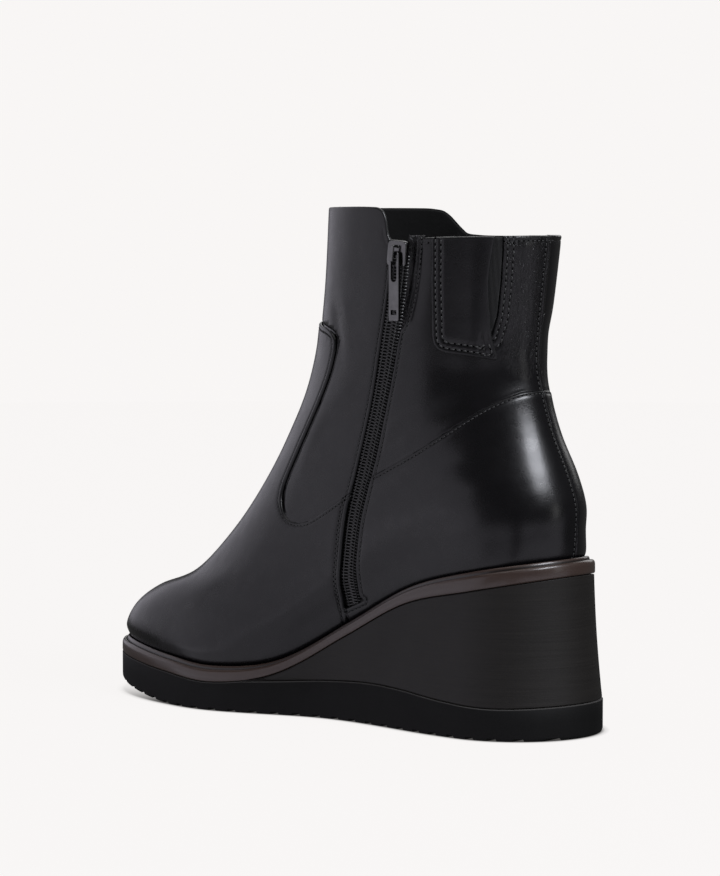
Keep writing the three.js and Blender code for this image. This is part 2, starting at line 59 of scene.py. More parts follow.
def make_camera():
    data = bpy.data.cameras.new("camera")
    data.sensor_width = 36
    data.lens = VIEW_LENS
    data.clip_end = 40
    camera = new_object("camera", data)
    aside = Vector((math.cos(VIEW_TURN), math.sin(VIEW_TURN), 0))
    back = Vector((math.sin(VIEW_TURN), -math.cos(VIEW_TURN), 0))
    camera.location = (back * VIEW_RUN + aside * VIEW_ASIDE + Vector((0, 0, VIEW_HEIGHT))) * MM
    camera.rotation_euler = (math.pi / 2 - VIEW_DOWN, 0, VIEW_TURN)
    bpy.context.scene.camera = camera


make_camera()

# Driving sizes of the boot
SOLE_LENGTH = 252
BALL_HALF_WIDTH = 47.6
SHAFT_HALF_WIDTH = 39
HEEL_SEAT_HEIGHT = 74.5
COLLAR_HEIGHT = 217
GAP = 0.3
TOE_SPRING = 7.5
SPRING_SHARE = 0.24
HEEL_TAPER = 3.7
TAPER_START = 0.45
WELT_THICKNESS = 6.5
WELT_MARGIN = 4.0
UPPER_TUCK = 2.2
WEDGE_START = 0.39

# The sole's outline: half widths as shares of the ball's, at stations from the toe to the heel
STATIONS = [0, 0.14, 0.32, 0.55, 0.8, 1]
INNER_SHARES = [0.79, 0.86, 1, 0.68, 0.8, 0.81]
OUTER_SHARES = [0.63, 0.82, 1, 0.77, 0.735, 0.725]
TOE_ROUND = 0.2
HEEL_ROUND = 0.16

# Heights along the sole as shares of the heel seat's height
HEIGHT_STATIONS = [0, 0.1, 0.22, 0.34, 0.45, 0.58, 0.72, 0.86, 1]
FEATHER_SHARES = [0.329, 0.322, 0.287, 0.258, 0.311, 0.55, 0.792, 0.918, 1]
WELT_THICKNESSES = [1, 1.08, 1.05, 1.02, 0.86, 0.85, 0.98, 1.2, 1.11]
PARTING_STATIONS = [0.36, 0.45, 0.56, 0.64, 0.72, 0.8, 0.9, 1]
PARTING_SHARES = [0.177, 0.192, 0.219, 0.232, 0.223, 0.197, 0.176, 0.188]

# The upper's sections over the feather line: front and back point, how far each follows the sole's
# rise, its two end rounds, how far it follows the foot's curve, its girth from ball to shaft, and
# its half widths as shares of that girth
SECTIONS = [
    ((0.014, 0.029), (0.972, 0.067), 1, (0.2, 0.16), 1, 0, (0.641, 0.777, 0.945, 0.683, 0.662, 0.651)),
    ((0.042, 0.078), (0.972, 0.144), 0.95, (0.2, 0.17), 0.95, 0, (0.651, 0.767, 0.914, 0.746, 0.693, 0.662)),
    ((0.091, 0.119), (0.954, 0.235), 0.8, (0.24, 0.18), 0.85, 0, (0.63, 0.725, 0.84, 0.756, 0.714, 0.651)),
    ((0.173, 0.158), (0.925, 0.347), 0.5, (0.3, 0.22), 0.7, 0.3, (0.644, 0.711, 0.8, 0.811, 0.733, 0.644)),
    ((0.252, 0.247), (0.905, 0.453), 0.3, (0.35, 0.28), 0.5, 0.6, (0.683, 0.73, 0.801, 0.872, 0.801, 0.683)),
    ((0.317, 0.345), (0.897, 0.544), 0.1, (0.4, 0.35), 0.3, 1, (0.769, 0.795, 0.872, 0.962, 0.936, 0.795)),
    ((0.380, 0.465), (0.900, 0.642), 0, (0.45, 0.42), 0.15, 1, (0.821, 0.846, 0.923, 0.974, 0.949, 0.846)),
    ((0.435, 0.610), (0.906, 0.733), 0, (0.5, 0.5), 0, 1, (0.872, 0.897, 0.949, 1, 0.974, 0.923)),
    ((0.465, 0.792), (0.912, 0.825), 0, (0.5, 0.5), 0, 1, (0.923, 0.949, 0.974, 1, 0.974, 0.949)),
    ((0.480, 1.031), (0.922, 0.972), 0, (0.5, 0.5), 0, 1, (0.974, 0.974, 1, 1, 1, 0.974)),
]
FOOT_CURVE = [-0.08, -0.02, 0.01, 0.03, -0.03, -0.05]

# Lines on the upper seen from the side: share of the sole's length, share of the way to the collar
INNER_COLLAR = [(0.381, 1.0), (0.579, 1.001), (0.659, 1.0), (0.681, 0.996), (0.693, 0.981), (0.697, 0.956),
                (0.702, 0.919), (0.714, 0.915), (0.798, 0.918), (0.897, 0.918), (1.016, 0.919)]
OUTER_COLLAR = [(0.381, 1.0), (0.540, 1.0), (0.583, 0.997), (0.603, 0.986), (0.631, 0.944), (0.651, 0.931),
                (0.738, 0.923), (1.016, 0.919)]
VAMP_SEAM = [(0.444, 0.756), (0.500, 0.734), (0.548, 0.711), (0.566, 0.691), (0.569, 0.668), (0.563, 0.635),
             (0.551, 0.595), (0.524, 0.533), (0.483, 0.461), (0.453, 0.401), (0.447, 0.364), (0.458, 0.327),
             (0.480, 0.299), (0.515, 0.282), (0.554, 0.285), (0.597, 0.298)]
COUNTER_SEAM = [(0.655, 0.322), (0.680, 0.326), (0.744, 0.350), (0.802, 0.395), (0.853, 0.448),
                (0.884, 0.475), (0.901, 0.484), (0.956, 0.487)]
ZIP_LINE = [(0.598, 0.009), (0.599, 0.095), (0.615, 0.229), (0.640, 0.332), (0.671, 0.468), (0.698, 0.626),
            (0.714, 0.748), (0.724, 0.860), (0.728, 0.930)]
SLOT_HALF_WIDTH = 4.0
SLOT_END = [(0.579, 0.036), (0.62, 0.03)]
SLOT_FLARE = [(0.696, 0.657), (0.729, 0.688), (0.744, 0.763), (0.752, 0.826), (0.759, 0.942), (0.722, 0.943),
              (0.706, 0.768)]
GORE_PANEL = [(0.817, 0.954), (0.817, 0.702), (0.829, 0.654), (0.860, 0.643), (0.869, 0.696), (0.877, 0.790),
              (0.882, 0.871), (0.885, 0.952)]
FLAP_PANEL = [(0.784, 0.954), (0.780, 0.791), (0.779, 0.648), (0.783, 0.623), (0.796, 0.608), (0.833, 0.593),
              (0.867, 0.574), (0.860, 0.636), (0.860, 0.744), (0.862, 0.804), (0.867, 0.858), (0.877, 0.953)]
SLIDER_POINT = (0.725, 0.879)

# Where the zip's middle line ends below, where the back seam's area starts, and distances that stand
# for outside of everything and for not near at all
ZIP_LINE_FOOT = -60
BACK_START = 40
OUTSIDE = 100
FAR_OFF = 99

# Faces of the leather above and below the form
SHAFT_FACE = -0.55
OVERLAY_FACE = 0.55
LINING_FACE = -2.5
TAPE_FACE = -2.85

# How far the welt reaches in under the insole, the insock's distance from it, and how far the tops of
# the wedge and the outsole reach into the welt, which is hidden and closes the joint
WELT_LEDGE = WELT_MARGIN - LINING_FACE + 1.6
INSOCK_GAP = 0.35
SINK = 0.15

# The upper's grids: points round the form, and steps from one section to the next
FINE_GRID = (416, 11)
COARSE_GRID = (240, 7)

# Points of a grid that lie nearer to a cut than this count as lying on it
SNAP_REACH = 0.06

# Distances at which the leather's faces get more points: across a folded edge, and across the back seam
EDGE_STEPS = (0.1, 0.28, 0.55, 0.9)
BACK_STEPS = (-0.9, -0.3, 0, 0.3, 0.9)

# Distances of the sewn rows from the edge or the middle line that they follow
SEAM_ROW = 2.1
SLOT_ROW = 1.9
COLLAR_ROW = 2.2
BACK_ROW = 1.7
FACING_ROW = 6.9
FACING_FOLD = 4.3
GORE_ROWS = (1.8, 4.6)
FLAP_ROWS = (1.9, 4.3)
TAPE_ROW = 2.3


def smooth(places, values, at):
    """A smooth curve through a table's values, which may be single numbers or whole loops."""
    places = np.asarray(places, float)
    values = np.asarray(values, float)
    at = np.clip(np.asarray(at, float), places[0], places[-1])
    last = len(places) - 1
    before = np.maximum(np.arange(last + 1) - 1, 0)
    after = np.minimum(np.arange(last + 1) + 1, last)
    run = (places[after] - places[before]).reshape((-1,) + (1,) * (values.ndim - 1))
    slopes = (values[after] - values[before]) / run
    k = np.clip(np.searchsorted(places, at, side="right") - 1, 0, last - 1)
    width = places[k + 1] - places[k]
    t = (at - places[k]) / width
    spread = at.shape + (1,) * (values.ndim - 1)
    t, width = t.reshape(spread), width.reshape(spread)
    start = (2 * t**3 - 3 * t**2 + 1) * values[k] + (t**3 - 2 * t**2 + t) * width * slopes[k]
    end = (3 * t**2 - 2 * t**3) * values[k + 1] + (t**3 - t**2) * width * slopes[k + 1]
    return start + end


def ramp(values, start, end):
    """Rises from 0 at the start to 1 at the end, which may also lie below the start."""
    return np.clip((values - start) / (end - start), 0, 1)


def end_round(share, front, back):
    to_front = np.minimum(1, share / front)
    to_back = np.minimum(1, (1 - share) / back)
    return np.sqrt(1 - (1 - to_front) ** 2) * np.sqrt(1 - (1 - to_back) ** 2)


def feather(share):
    return smooth(HEIGHT_STATIONS, FEATHER_SHARES, share) * HEEL_SEAT_HEIGHT


def welt_height(share):
    return smooth(HEIGHT_STATIONS, WELT_THICKNESSES, share) * WELT_THICKNESS


def welt_bottom(share):
    return feather(share) - welt_height(share)


def parting(share):
    return smooth(PARTING_STATIONS, PARTING_SHARES, share) * HEEL_SEAT_HEIGHT


def floor_height(share):
    return TOE_SPRING * np.maximum(0, 1 - share / SPRING_SHARE) ** 1.3


def taper(share):
    return HEEL_TAPER * np.maximum(0, (share - TAPER_START) / (1 - TAPER_START))


def share_at(angle):
    return (1 - np.cos(angle)) / 2


def turn(count):
    return 2 * math.pi * np.arange(count) / count


def outline_point(angle):
    share = share_at(angle)
    inner = np.sin(angle) >= 0
    widths = np.where(inner, smooth(STATIONS, INNER_SHARES, share), smooth(STATIONS, OUTER_SHARES, share))
    side = np.where(inner, -1, 1) * widths * BALL_HALF_WIDTH * end_round(share, TOE_ROUND, HEEL_ROUND)
    return np.stack([SOLE_LENGTH * (share - 0.5), side], -1)


OUTLINE_SIDES = outline_point(turn(720))[:, 1]
OUTLINE_MIDDLE = (OUTLINE_SIDES.min() + OUTLINE_SIDES.max()) / 2


def outline_loop(inset, height, angles):
    """A loop round the sole's outline, moved in by inset(share), at the height there."""
    reach = 0.02
    here = outline_point(angles)
    run = outline_point(angles + reach) - outline_point(angles - reach)
    run /= np.linalg.norm(run, axis=1)[:, None]
    share = share_at(angles)
    depth = inset(share) if callable(inset) else np.full(len(angles), float(inset))
    x = here[:, 0] - run[:, 1] * depth
    y = here[:, 1] + run[:, 0] * depth - OUTLINE_MIDDLE
    return np.stack([x, y, height(x / SOLE_LENGTH + 0.5)], -1)


def side_point(pair):
    along, up = pair
    low = float(feather(along))
    return (SOLE_LENGTH * (along - 0.5), low + up * (COLLAR_HEIGHT - low))


def side_line(pairs):
    return np.array([side_point(pair) for pair in pairs])


def curve_through(points, count):
    """Points on a smooth curve through all the given ones."""
    points = np.asarray(points, float)
    last = len(points) - 1
    at = np.linspace(0, last, count + 1)
    k = np.minimum(at.astype(int), last - 1)
    t = (at - k)[:, None]
    p0, p1 = points[np.maximum(k - 1, 0)], points[k]
    p2, p3 = points[k + 1], points[np.minimum(k + 2, last)]
    slope_in, slope_out = (p2 - p0) / 2, (p3 - p1) / 2
    return ((2 * t**3 - 3 * t**2 + 1) * p1 + (t**3 - 2 * t**2 + t) * slope_in
            + (3 * t**2 - 2 * t**3) * p2 + (t**3 - t**2) * slope_out)


def section_loops(angles):
    share = share_at(angles)
    loops = [
        outline_loop(lambda s: taper(s) + WELT_MARGIN + GAP, lambda s: feather(s) - UPPER_TUCK, angles),
        outline_loop(lambda s: taper(s) + WELT_MARGIN, feather, angles),
    ]
    rise = feather(share) - feather(0) - (feather(1) - feather(0)) * share
    for front, back, follow, rounds, shift, girth, half_widths in SECTIONS:
        front_x, back_x = SOLE_LENGTH * (front[0] - 0.5), SOLE_LENGTH * (back[0] - 0.5)
        front_z = feather(0) + front[1] * (COLLAR_HEIGHT - feather(0))
        back_z = feather(1) + back[1] * (COLLAR_HEIGHT - feather(1))
        half_girth = BALL_HALF_WIDTH + (SHAFT_HALF_WIDTH - BALL_HALF_WIDTH) * girth
        half = smooth(STATIONS, half_widths, share) * half_girth * end_round(share, *rounds)
        middle = smooth(STATIONS, FOOT_CURVE, share) * BALL_HALF_WIDTH * shift
        side = middle + np.where(np.sin(angles) >= 0, -half, half)
        loops.append(np.stack([front_x + (back_x - front_x) * share, side,
                               front_z + (back_z - front_z) * share + follow * rise], -1))
    return np.array(loops)


def form_grid(angles, rows):
    loops = section_loops(angles)
    rows = np.asarray(rows, float)
    grid = smooth(np.arange(1, len(loops)), loops[1:], rows)
    tucked = rows < 1
    share = rows[tucked][:, None, None]
    grid[tucked] = loops[0] * (1 - share) + loops[1] * share
    return grid


def unit(vectors):
    return vectors / np.maximum(np.linalg.norm(vectors, axis=-1), 1e-12)[..., None]


def inside(outline, points):
    """True for the points that lie inside a closed outline."""
    x, z = points[:, 0], points[:, 1]
    found = np.zeros(len(points), bool)
    for (ax, az), (bx, bz) in zip(outline, np.roll(outline, -1, axis=0)):
        if az == bz:
            continue
        crosses = (az > z) != (bz > z)
        found ^= crosses & (x < (bx - ax) * (z - az) / (bz - az) + ax)
    return found


def to_line(points, line):
    """Distance from each point to a line, and the direction away from it."""
    start, end = line[:-1], line[1:]
    run = end - start
    long = (run**2).sum(1)
    best = np.full(len(points), 1e9)
    away = np.zeros_like(points)
    for a, r, length in zip(start, run, np.maximum(long, 1e-9)):
        t = np.clip(((points - a) @ r) / length, 0, 1)
        gap = points - (a + t[:, None] * r)
        far = np.hypot(gap[:, 0], gap[:, 1])
        nearer = far < best
        best[nearer] = far[nearer]
        away[nearer] = gap[nearer]
    return best, away


def skin_distance(place, outward, line, positive):
    """Signed distance along the skin to a line of the side view."""
    points = place[:, [0, 2]]
    far, away = to_line(points, line)
    away = unit(away)
    slope = away[:, 0] * outward[:, 0] + away[:, 1] * outward[:, 2]
    far = far / np.sqrt(np.maximum(1 - slope**2, 0.06))
    return np.where(positive, far, -far)


class Skin:
    """Triangles on the upper's form, each point with its place, its outward direction and named
    distances in millimetres to the boot's seams and edges."""

    def __init__(self, columns, steps):
        rows = np.concatenate([[0, 0.5], 1 + np.arange(len(SECTIONS) * steps + 1) / steps])
        grid = form_grid(turn(columns), rows)
        round_run = np.roll(grid, -1, axis=1) - np.roll(grid, 1, axis=1)
        up_run = np.gradient(grid, rows, axis=0)
        self.place = grid.reshape(-1, 3)
        self.outward = unit(np.cross(round_run, up_run)).reshape(-1, 3)
        here = np.arange(len(rows) - 1)[:, None] * columns + np.arange(columns)
        beside = np.arange(len(rows) - 1)[:, None] * columns + (np.arange(columns) + 1) % columns
        corners = [corner.ravel() for corner in (here, beside, beside + columns, here + columns)]
        a, b, c, d = corners
        self.face = np.concatenate([np.stack([a, b, c], 1), np.stack([a, c, d], 1)])
        self.far = {}
        self.measure()

    def measure(self):
        place, outward, far = self.place, self.outward, self.far
        points = place[:, [0, 2]]
        inner = place[:, 1] < 0
        collars = []
        above = COLLAR_HEIGHT + OUTSIDE
        for pairs in (INNER_COLLAR, OUTER_COLLAR):
            line = curve_through(side_line(pairs), 60)
            over = np.vstack([line, [[line[-1][0], above], [line[0][0], above]]])
            collars.append(skin_distance(place, outward, line, ~inside(over, points)))
        far["collar"] = np.where(inner, *collars)

        vamp = curve_through(side_line(VAMP_SEAM), 90)
        counter = curve_through(side_line(COUNTER_SEAM), 40)
        start, end = [-SOLE_LENGTH, vamp[0][1]], [SOLE_LENGTH, counter[-1][1]]
        seam = np.vstack([[start], vamp, counter, [end]])
        area = np.vstack([[[-SOLE_LENGTH, 0]], seam, [[SOLE_LENGTH, 0]]])
        far["overlay"] = skin_distance(place, outward, seam, inside(area, points))

        middle = curve_through(side_line(ZIP_LINE), 60)
        run = unit(np.gradient(middle, axis=0))
        line = np.vstack([[middle[0][0], ZIP_LINE_FOOT], middle])
        front_of = np.vstack([line, [[-SOLE_LENGTH, middle[-1][1]], [-SOLE_LENGTH, ZIP_LINE_FOOT]]])
        far["zip"] = skin_distance(place, outward, line, inside(front_of, points))
        offset = np.stack([-run[:, 1], run[:, 0]], 1) * SLOT_HALF_WIDTH
        ends = side_line(SLOT_END)
        front_edge, back_edge = ([p for p in edge if p[1] > ends[1][1] + 1]
                                 for edge in (middle + offset, middle - offset))
        strip = np.vstack([front_edge[::-1], ends, back_edge])
        slot = [self.to_area(outline, points) for outline in (strip, side_line(SLOT_FLARE))]
        far["slot"] = np.where(inner, np.minimum(*slot), FAR_OFF)
        far["gore"] = np.where(inner, self.to_area(side_line(GORE_PANEL), points), FAR_OFF)
        flap = rounded_outline(side_line(FLAP_PANEL), 1.2)
        far["flap"] = np.where(inner, -self.to_area(flap, points), -FAR_OFF)

        # Positive on the inner side. It counts at the back alone, so what uses it asks for behind().
        far["back"] = np.where(self.behind(), -place[:, 1], np.where(inner, FAR_OFF, -FAR_OFF))
        far["height"] = place[:, 2].copy()
        far["rise"] = place[:, 2] - feather(place[:, 0] / SOLE_LENGTH + 0.5)

        # How clearly the seam's edge stands out: fully round the vamp's tongue and softly lower down
        x, z = place[:, 0], place[:, 2]
        bead = np.maximum(ramp(x, 8, -4) * ramp(z, 84, 92), ramp(x, 30, 20) * ramp(z, 105, 117))
        far["bead"] = np.where(inner | (place[:, 0] < 0), bead, bead * 0.6)
        far["sewn"] = far["overlay"] + 0.8 * (1 - far["bead"])

    def behind(self):
        return self.place[:, 0] > BACK_START

    def to_area(self, outline, points):
        """Distance to an area's edge, positive outside it."""
        closed = np.vstack([outline, outline[:1]])
        return skin_distance(self.place, self.outward, closed, ~inside(outline, points))

    def copy(self):
        twin = Skin.__new__(Skin)
        twin.place, twin.outward, twin.face = self.place.copy(), self.outward.copy(), self.face.copy()
        twin.far = {name: values.copy() for name, values in self.far.items()}
        return twin

    def cut(self, name, level):
        """Splits the triangles along the line where a distance has a level."""
        values = self.far[name]
        gap = values - level
        close = np.abs(gap) < SNAP_REACH
        values[close] = level
        gap[close] = 0
        sign = np.sign(gap)
        face = self.face
        count = len(values)
        other = np.roll(face, -1, axis=1)
        low, high = np.minimum(face, other), np.maximum(face, other)
        crossing = sign[low] * sign[high] < 0
        keys, where = np.unique((low * count + high)[crossing], return_inverse=True)
        if len(keys) == 0:
            return
        start, end = keys // count, keys % count
        t = gap[start] / (gap[start] - gap[end])
        added = self.place[start] + (self.place[end] - self.place[start]) * t[:, None]
        self.place = np.vstack([self.place, added])
        lean = self.outward[start] + (self.outward[end] - self.outward[start]) * t[:, None]
        self.outward = np.vstack([self.outward, unit(lean)])
        for other_name, far in self.far.items():
            self.far[other_name] = np.concatenate([far, far[start] + (far[end] - far[start]) * t])
        self.far[name][count:] = level
        split = np.full(face.shape, -1)
        split[crossing] = count + where.ravel()
        crossings = crossing.sum(1)
        whole, one, two = face[crossings == 0], crossings == 1, crossings == 2
        turned = (np.arange(3) + (crossing[one].argmax(1) - 1)[:, None]) % 3
        f = np.take_along_axis(face[one], turned, 1)
        new = split[one].max(1)
        halves = [np.stack([f[:, 0], f[:, 1], new], 1), np.stack([f[:, 0], new, f[:, 2]], 1)]
        turned = (np.arange(3) + ((~crossing[two]).argmax(1) - 1)[:, None]) % 3
        f = np.take_along_axis(face[two], turned, 1)
        s = np.take_along_axis(split[two], turned, 1)
        thirds = [np.stack([f[:, 0], s[:, 0], s[:, 2]], 1), np.stack([s[:, 0], f[:, 1], f[:, 2]], 1),
                  np.stack([s[:, 0], f[:, 2], s[:, 2]], 1)]
        self.face = np.concatenate([whole, *halves, *thirds])

    def keep(self, name, low=-math.inf, high=math.inf):
        """Keeps what lies between two levels of a distance."""
        for level in (low, high):
            if math.isfinite(level):
                self.cut(name, level)
        values = self.far[name][self.face]
        middle = values.mean(1)
        self.face = self.face[(middle > low) & (middle < high)]
        self.drop_loose()
        return self

    def drop_loose(self):
        used, where = np.unique(self.face, return_inverse=True)
        self.face = where.reshape(-1, 3)
        self.place, self.outward = self.place[used], self.outward[used]
        self.far = {name: values[used] for name, values in self.far.items()}

    def cuts(self, name, *levels):
        for level in levels:
            self.cut(name, level)
        return self

    def line(self, name, level, height, chosen=None):
        """The lines where a distance has a level, as lists of points with their directions."""
        on = np.abs(self.far[name] - level) < 1e-6
        if chosen is not None:
            on &= chosen
        pairs = np.concatenate([self.face[:, [0, 1]], self.face[:, [1, 2]], self.face[:, [2, 0]]])
        pairs = np.unique(np.sort(pairs[on[pairs].all(1)], axis=1), axis=0)
        beside = {}
        for a, b in pairs.tolist():
            beside.setdefault(a, []).append(b)
            beside.setdefault(b, []).append(a)
        raised = self.place + self.outward * height[:, None]
        seen, chains = set(), []
        starts = [k for k in beside if len(beside[k]) == 1] + list(beside)
        for first in starts:
            if first in seen:
                continue
            chain, here = [first], first
            seen.add(first)
            while True:
                onward = [k for k in beside[here] if k not in seen]
                if not onward:
                    break
                here = onward[0]
                seen.add(here)
                chain.append(here)
            if len(chain) > 2 and first in beside[here]:
                chain.append(first)
            if len(chain) > 3:
                chains.append((raised[chain], self.outward[chain]))
        return chains


def rounded_outline(outline, reach):
    """An outline with its corners cut a little, so that its edge turns softly."""
    points = []
    for before, here, after in zip(np.roll(outline, 1, axis=0), outline, np.roll(outline, -1, axis=0)):
        for other in (before, after):
            run = other - here
            far = np.hypot(*run)
            points.append(here + run / far * min(reach, far / 2.5))
    return np.array(points)


def fallen(distance, radius):
    """How far a folded edge falls below its panel's face: all of its radius at the very edge."""
    t = np.clip(distance / radius, 0, 1)
    return radius * (1 - np.sqrt(1 - (1 - t) ** 2))


def trough(distance, middle, width, depth):
    return depth * np.exp(-(((distance - middle) / width) ** 2))


# Soft creases of the worn-in leather: middle of each, its direction, its length and width and how
# deep it is, with ridges as negative depths
CREASES = [
    ((17, -33, 168), (0.45, 0, -1), 15, 3.4, 0.7),
    ((25, -36, 172), (0.5, 0, -1), 13, 3.6, -0.45),
    ((-2, 0, 158), (0, 1, 0.1), 40, 9, 0.35),
    ((10, 34, 118), (1, 0, 0.5), 26, 6, 0.5),
    ((18, 36, 132), (1, 0, 0.4), 24, 6, -0.3),
    ((96, 18, 164), (0.2, 1, 0), 22, 7, 0.5),
    ((84, -26, 148), (1, 0.4, -0.1), 20, 7, 0.45),
    ((-60, 10, 78), (0.3, 1, 0.1), 26, 5, 0.3),
    ((-70, 8, 68), (0.3, 1, 0.1), 26, 5, -0.2),
]


def creases(place):
    height = np.zeros(len(place))
    for middle, direction, length, width, depth in CREASES:
        along = np.array(direction, float)
        along /= np.linalg.norm(along)
        gap = place - np.array(middle, float)
        run = gap @ along
        side = np.linalg.norm(gap - run[:, None] * along, axis=1)
        height -= depth * np.exp(-((run / length) ** 2) - (side / width) ** 2)
    return height


def set_mark(mesh, name, values):
    """A number or a direction for every point of a mesh."""
    kind, field = ("FLOAT", "value") if values.ndim == 1 else ("FLOAT_VECTOR", "vector")
    mesh.attributes.new(name, kind, "POINT").data.foreach_set(field, values.astype(np.float32).ravel())


def add_piece(name, place, faces, look, marks=None, sharp=None):
    """A mesh object from places in millimetres, with any marks as attributes of its points."""
    mesh = bpy.data.meshes.new(name)
    if isinstance(faces, np.ndarray):
        mesh.vertices.add(len(place))
        mesh.vertices.foreach_set("co", (np.asarray(place) * MM).astype(np.float32).ravel())
        mesh.loops.add(faces.size)
        mesh.loops.foreach_set("vertex_index", faces.astype(np.int32).ravel())
        mesh.polygons.add(len(faces))
        mesh.polygons.foreach_set("loop_start", np.arange(0, faces.size, faces.shape[1], dtype=np.int32))
        mesh.update(calc_edges=True)
        mesh.validate()
    else:
        mesh.from_pydata((np.asarray(place) * MM).tolist(), [], faces)
    for mark, values in (marks or {}).items():
        set_mark(mesh, mark, values)
    mesh.shade_smooth()
    if sharp:
        mesh.set_sharp_from_angle(angle=math.radians(sharp))
    mesh.materials.append(look)
    return new_object(name, mesh)


def settle(piece, slot, *nodes, body="boot"):
    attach(piece, body)
    if nodes:
        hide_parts(*nodes)


def shell(name, skin, front, back, look, marks=None):
    """A closed sheet of leather or cloth between two heights over the form."""
    count = len(skin.place)
    place = np.vstack([skin.place + skin.outward * rise[:, None] for rise in (front, back)])
    pairs = np.concatenate([skin.face[:, [0, 1]], skin.face[:, [1, 2]], skin.face[:, [2, 0]]])
    key = np.sort(pairs, axis=1) @ np.array([count, 1])
    _, first, many = np.unique(key, return_index=True, return_counts=True)
    rim = pairs[first[many == 1]]
    a, b = rim[:, 0], rim[:, 1]
    sides = np.concatenate([np.stack([b, a, a + count], 1), np.stack([b, a + count, b + count], 1)])
    faces = np.concatenate([skin.face, skin.face[:, ::-1] + count, sides])
    doubled = {mark: np.concatenate([values, values]) for mark, values in (marks or {}).items()}
    return add_piece(name, place, faces, look, doubled)


def add_node(tree, kind, settings, values):
    """A node of a material or of Geometry Nodes, with its inputs linked or set."""
    node = tree.nodes.new(kind)
    for name, value in settings.items():
        setattr(node, name, value)
    for name, value in values.items():
        if isinstance(value, bpy.types.NodeSocket):
            tree.links.new(value, node.inputs[name])
        else:
            node.inputs[name].default_value = value
    return node


class Value:
    """A socket of a material, for sums and products written as plain expressions."""

    def __init__(self, look, socket):
        self.look, self.socket = look, socket

    def math(self, operation, first, second):
        return self.look.node("ShaderNodeMath", {"operation": operation}, {0: first, 1: second})

    def __add__(self, other):
        return self.math("ADD", self, other)

    __radd__ = __add__

    def __mul__(self, other):
        return self.math("MULTIPLY", self, other)

    __rmul__ = __mul__

    def __sub__(self, other):
        return self.math("SUBTRACT", self, other)

    def __rsub__(self, other):
        return self.math("SUBTRACT", other, self)


class Look:
    """A material in the making. Constants go on its shader's own sockets."""

    def __init__(self, name, **constants):
        self.material = bpy.data.materials.new(name)
        self.material.use_nodes = True
        self.tree = self.material.node_tree
        self.shader = self.tree.nodes["Principled BSDF"]
        for socket, value in constants.items():
            self.shader.inputs[socket.replace("_", " ")].default_value = value
        self.places = self.node("ShaderNodeTexCoord", {}, {}, "Object")

    def node(self, kind, settings, values, output=0):
        sockets = {name: value.socket if isinstance(value, Value) else value
                   for name, value in values.items()}
        return Value(self, add_node(self.tree, kind, settings, sockets).outputs[output])

    def stretched(self, x, y, z):
        return self.node("ShaderNodeVectorMath", {"operation": "MULTIPLY"}, {0: self.places, 1: (x, y, z)})

    def noise(self, scale, detail=3.0, roughness=0.55, places=None):
        values = {"Vector": places or self.places, "Scale": scale, "Detail": detail, "Roughness": roughness}
        return self.node("ShaderNodeTexNoise", {}, values)

    def cells(self, scale):
        return self.node("ShaderNodeTexVoronoi", {}, {"Vector": self.places, "Scale": scale})

    def mark(self, name):
        return self.node("ShaderNodeAttribute", {"attribute_name": name}, {}, "Fac")

    def mix(self, share, first, second):
        return self.node("ShaderNodeMix", {"data_type": "RGBA"}, {0: share, 6: first, 7: second}, 2)

    def drive(self, **sockets):
        for name, value in sockets.items():
            self.tree.links.new(value.socket, self.shader.inputs[name.replace("_", " ")])

    def bump(self, *layers):
        """Relief in layers, each a value from 0 to 1 and the height of its full value in millimetres."""
        normal = None
        for height, depth in layers:
            values = {"Height": height, "Distance": depth * MM, "Strength": 1.0}
            if normal:
                values["Normal"] = normal
            normal = self.node("ShaderNodeBump", {}, values)
        self.tree.links.new(normal.socket, self.shader.inputs["Normal"])


def grey(value, warm=0.0):
    return (value * (1 + warm), value, value * (1 - warm), 1)


PAPER_WHITES = ((1, 0.978, 0.969, 1), (1, 0.981, 0.972, 1))


def make_leather(name, tone, shine):
    look = Look(name, Specular_IOR_Level=0.4, Coat_Roughness=0.2, Coat_IOR=1.4)
    broad = look.noise(26, 2)
    mottle = look.noise(190, 4)
    pores = look.cells(1500)
    grain = look.noise(2600, 2)
    edge = look.mark("edge")
    crumple = look.mark("crumple")
    wrinkles = look.noise(1, 4, 0.6, look.stretched(520, 520, 170))
    dark = (tone * 0.75, tone * 0.7, tone * 0.85, 1)
    light = (tone * 1.25, tone * 1.15, tone * 1.45, 1)
    tint = look.mix(broad * 0.5 + mottle * 0.5, dark, light)
    # The edge mark lightens the colour along the folded edges: a painted highlight on their rounded rims. It
    # also makes them rougher.
    tint = look.mix(edge * 0.6, tint, grey(tone * 4, -0.02))
    look.drive(Base_Color=tint, Roughness=shine + mottle * 0.1 + broad * 0.06 + edge * 0.1,
               Coat_Weight=0.3 - mottle * 0.2 + crumple * 0.45)
    look.bump((broad, 0.5), (mottle, 0.06), (pores, 0.013), (grain, 0.008), (wrinkles * crumple, 1.9))
    return look.material


LOOKS = {}


def make_leather_looks():
    LOOKS["leather"] = make_leather("smooth_leather", 0.0038, 0.2)

    look = Look("black_thread", Roughness=0.55, Specular_IOR_Level=0.5)
    look.drive(Base_Color=look.mix(look.noise(3000), grey(0.02), grey(0.05)))
    look.bump((look.noise(5000), 0.03))
    LOOKS["thread"] = look.material

    # Near-black discs that never shine: painted shade inside the needle holes.
    look = Look("needle_hole", Specular_IOR_Level=0.0, Roughness=1.0)
    look.drive(Base_Color=look.mix(look.noise(3000), grey(0.0005), grey(0.002)))
    LOOKS["hole"] = look.material


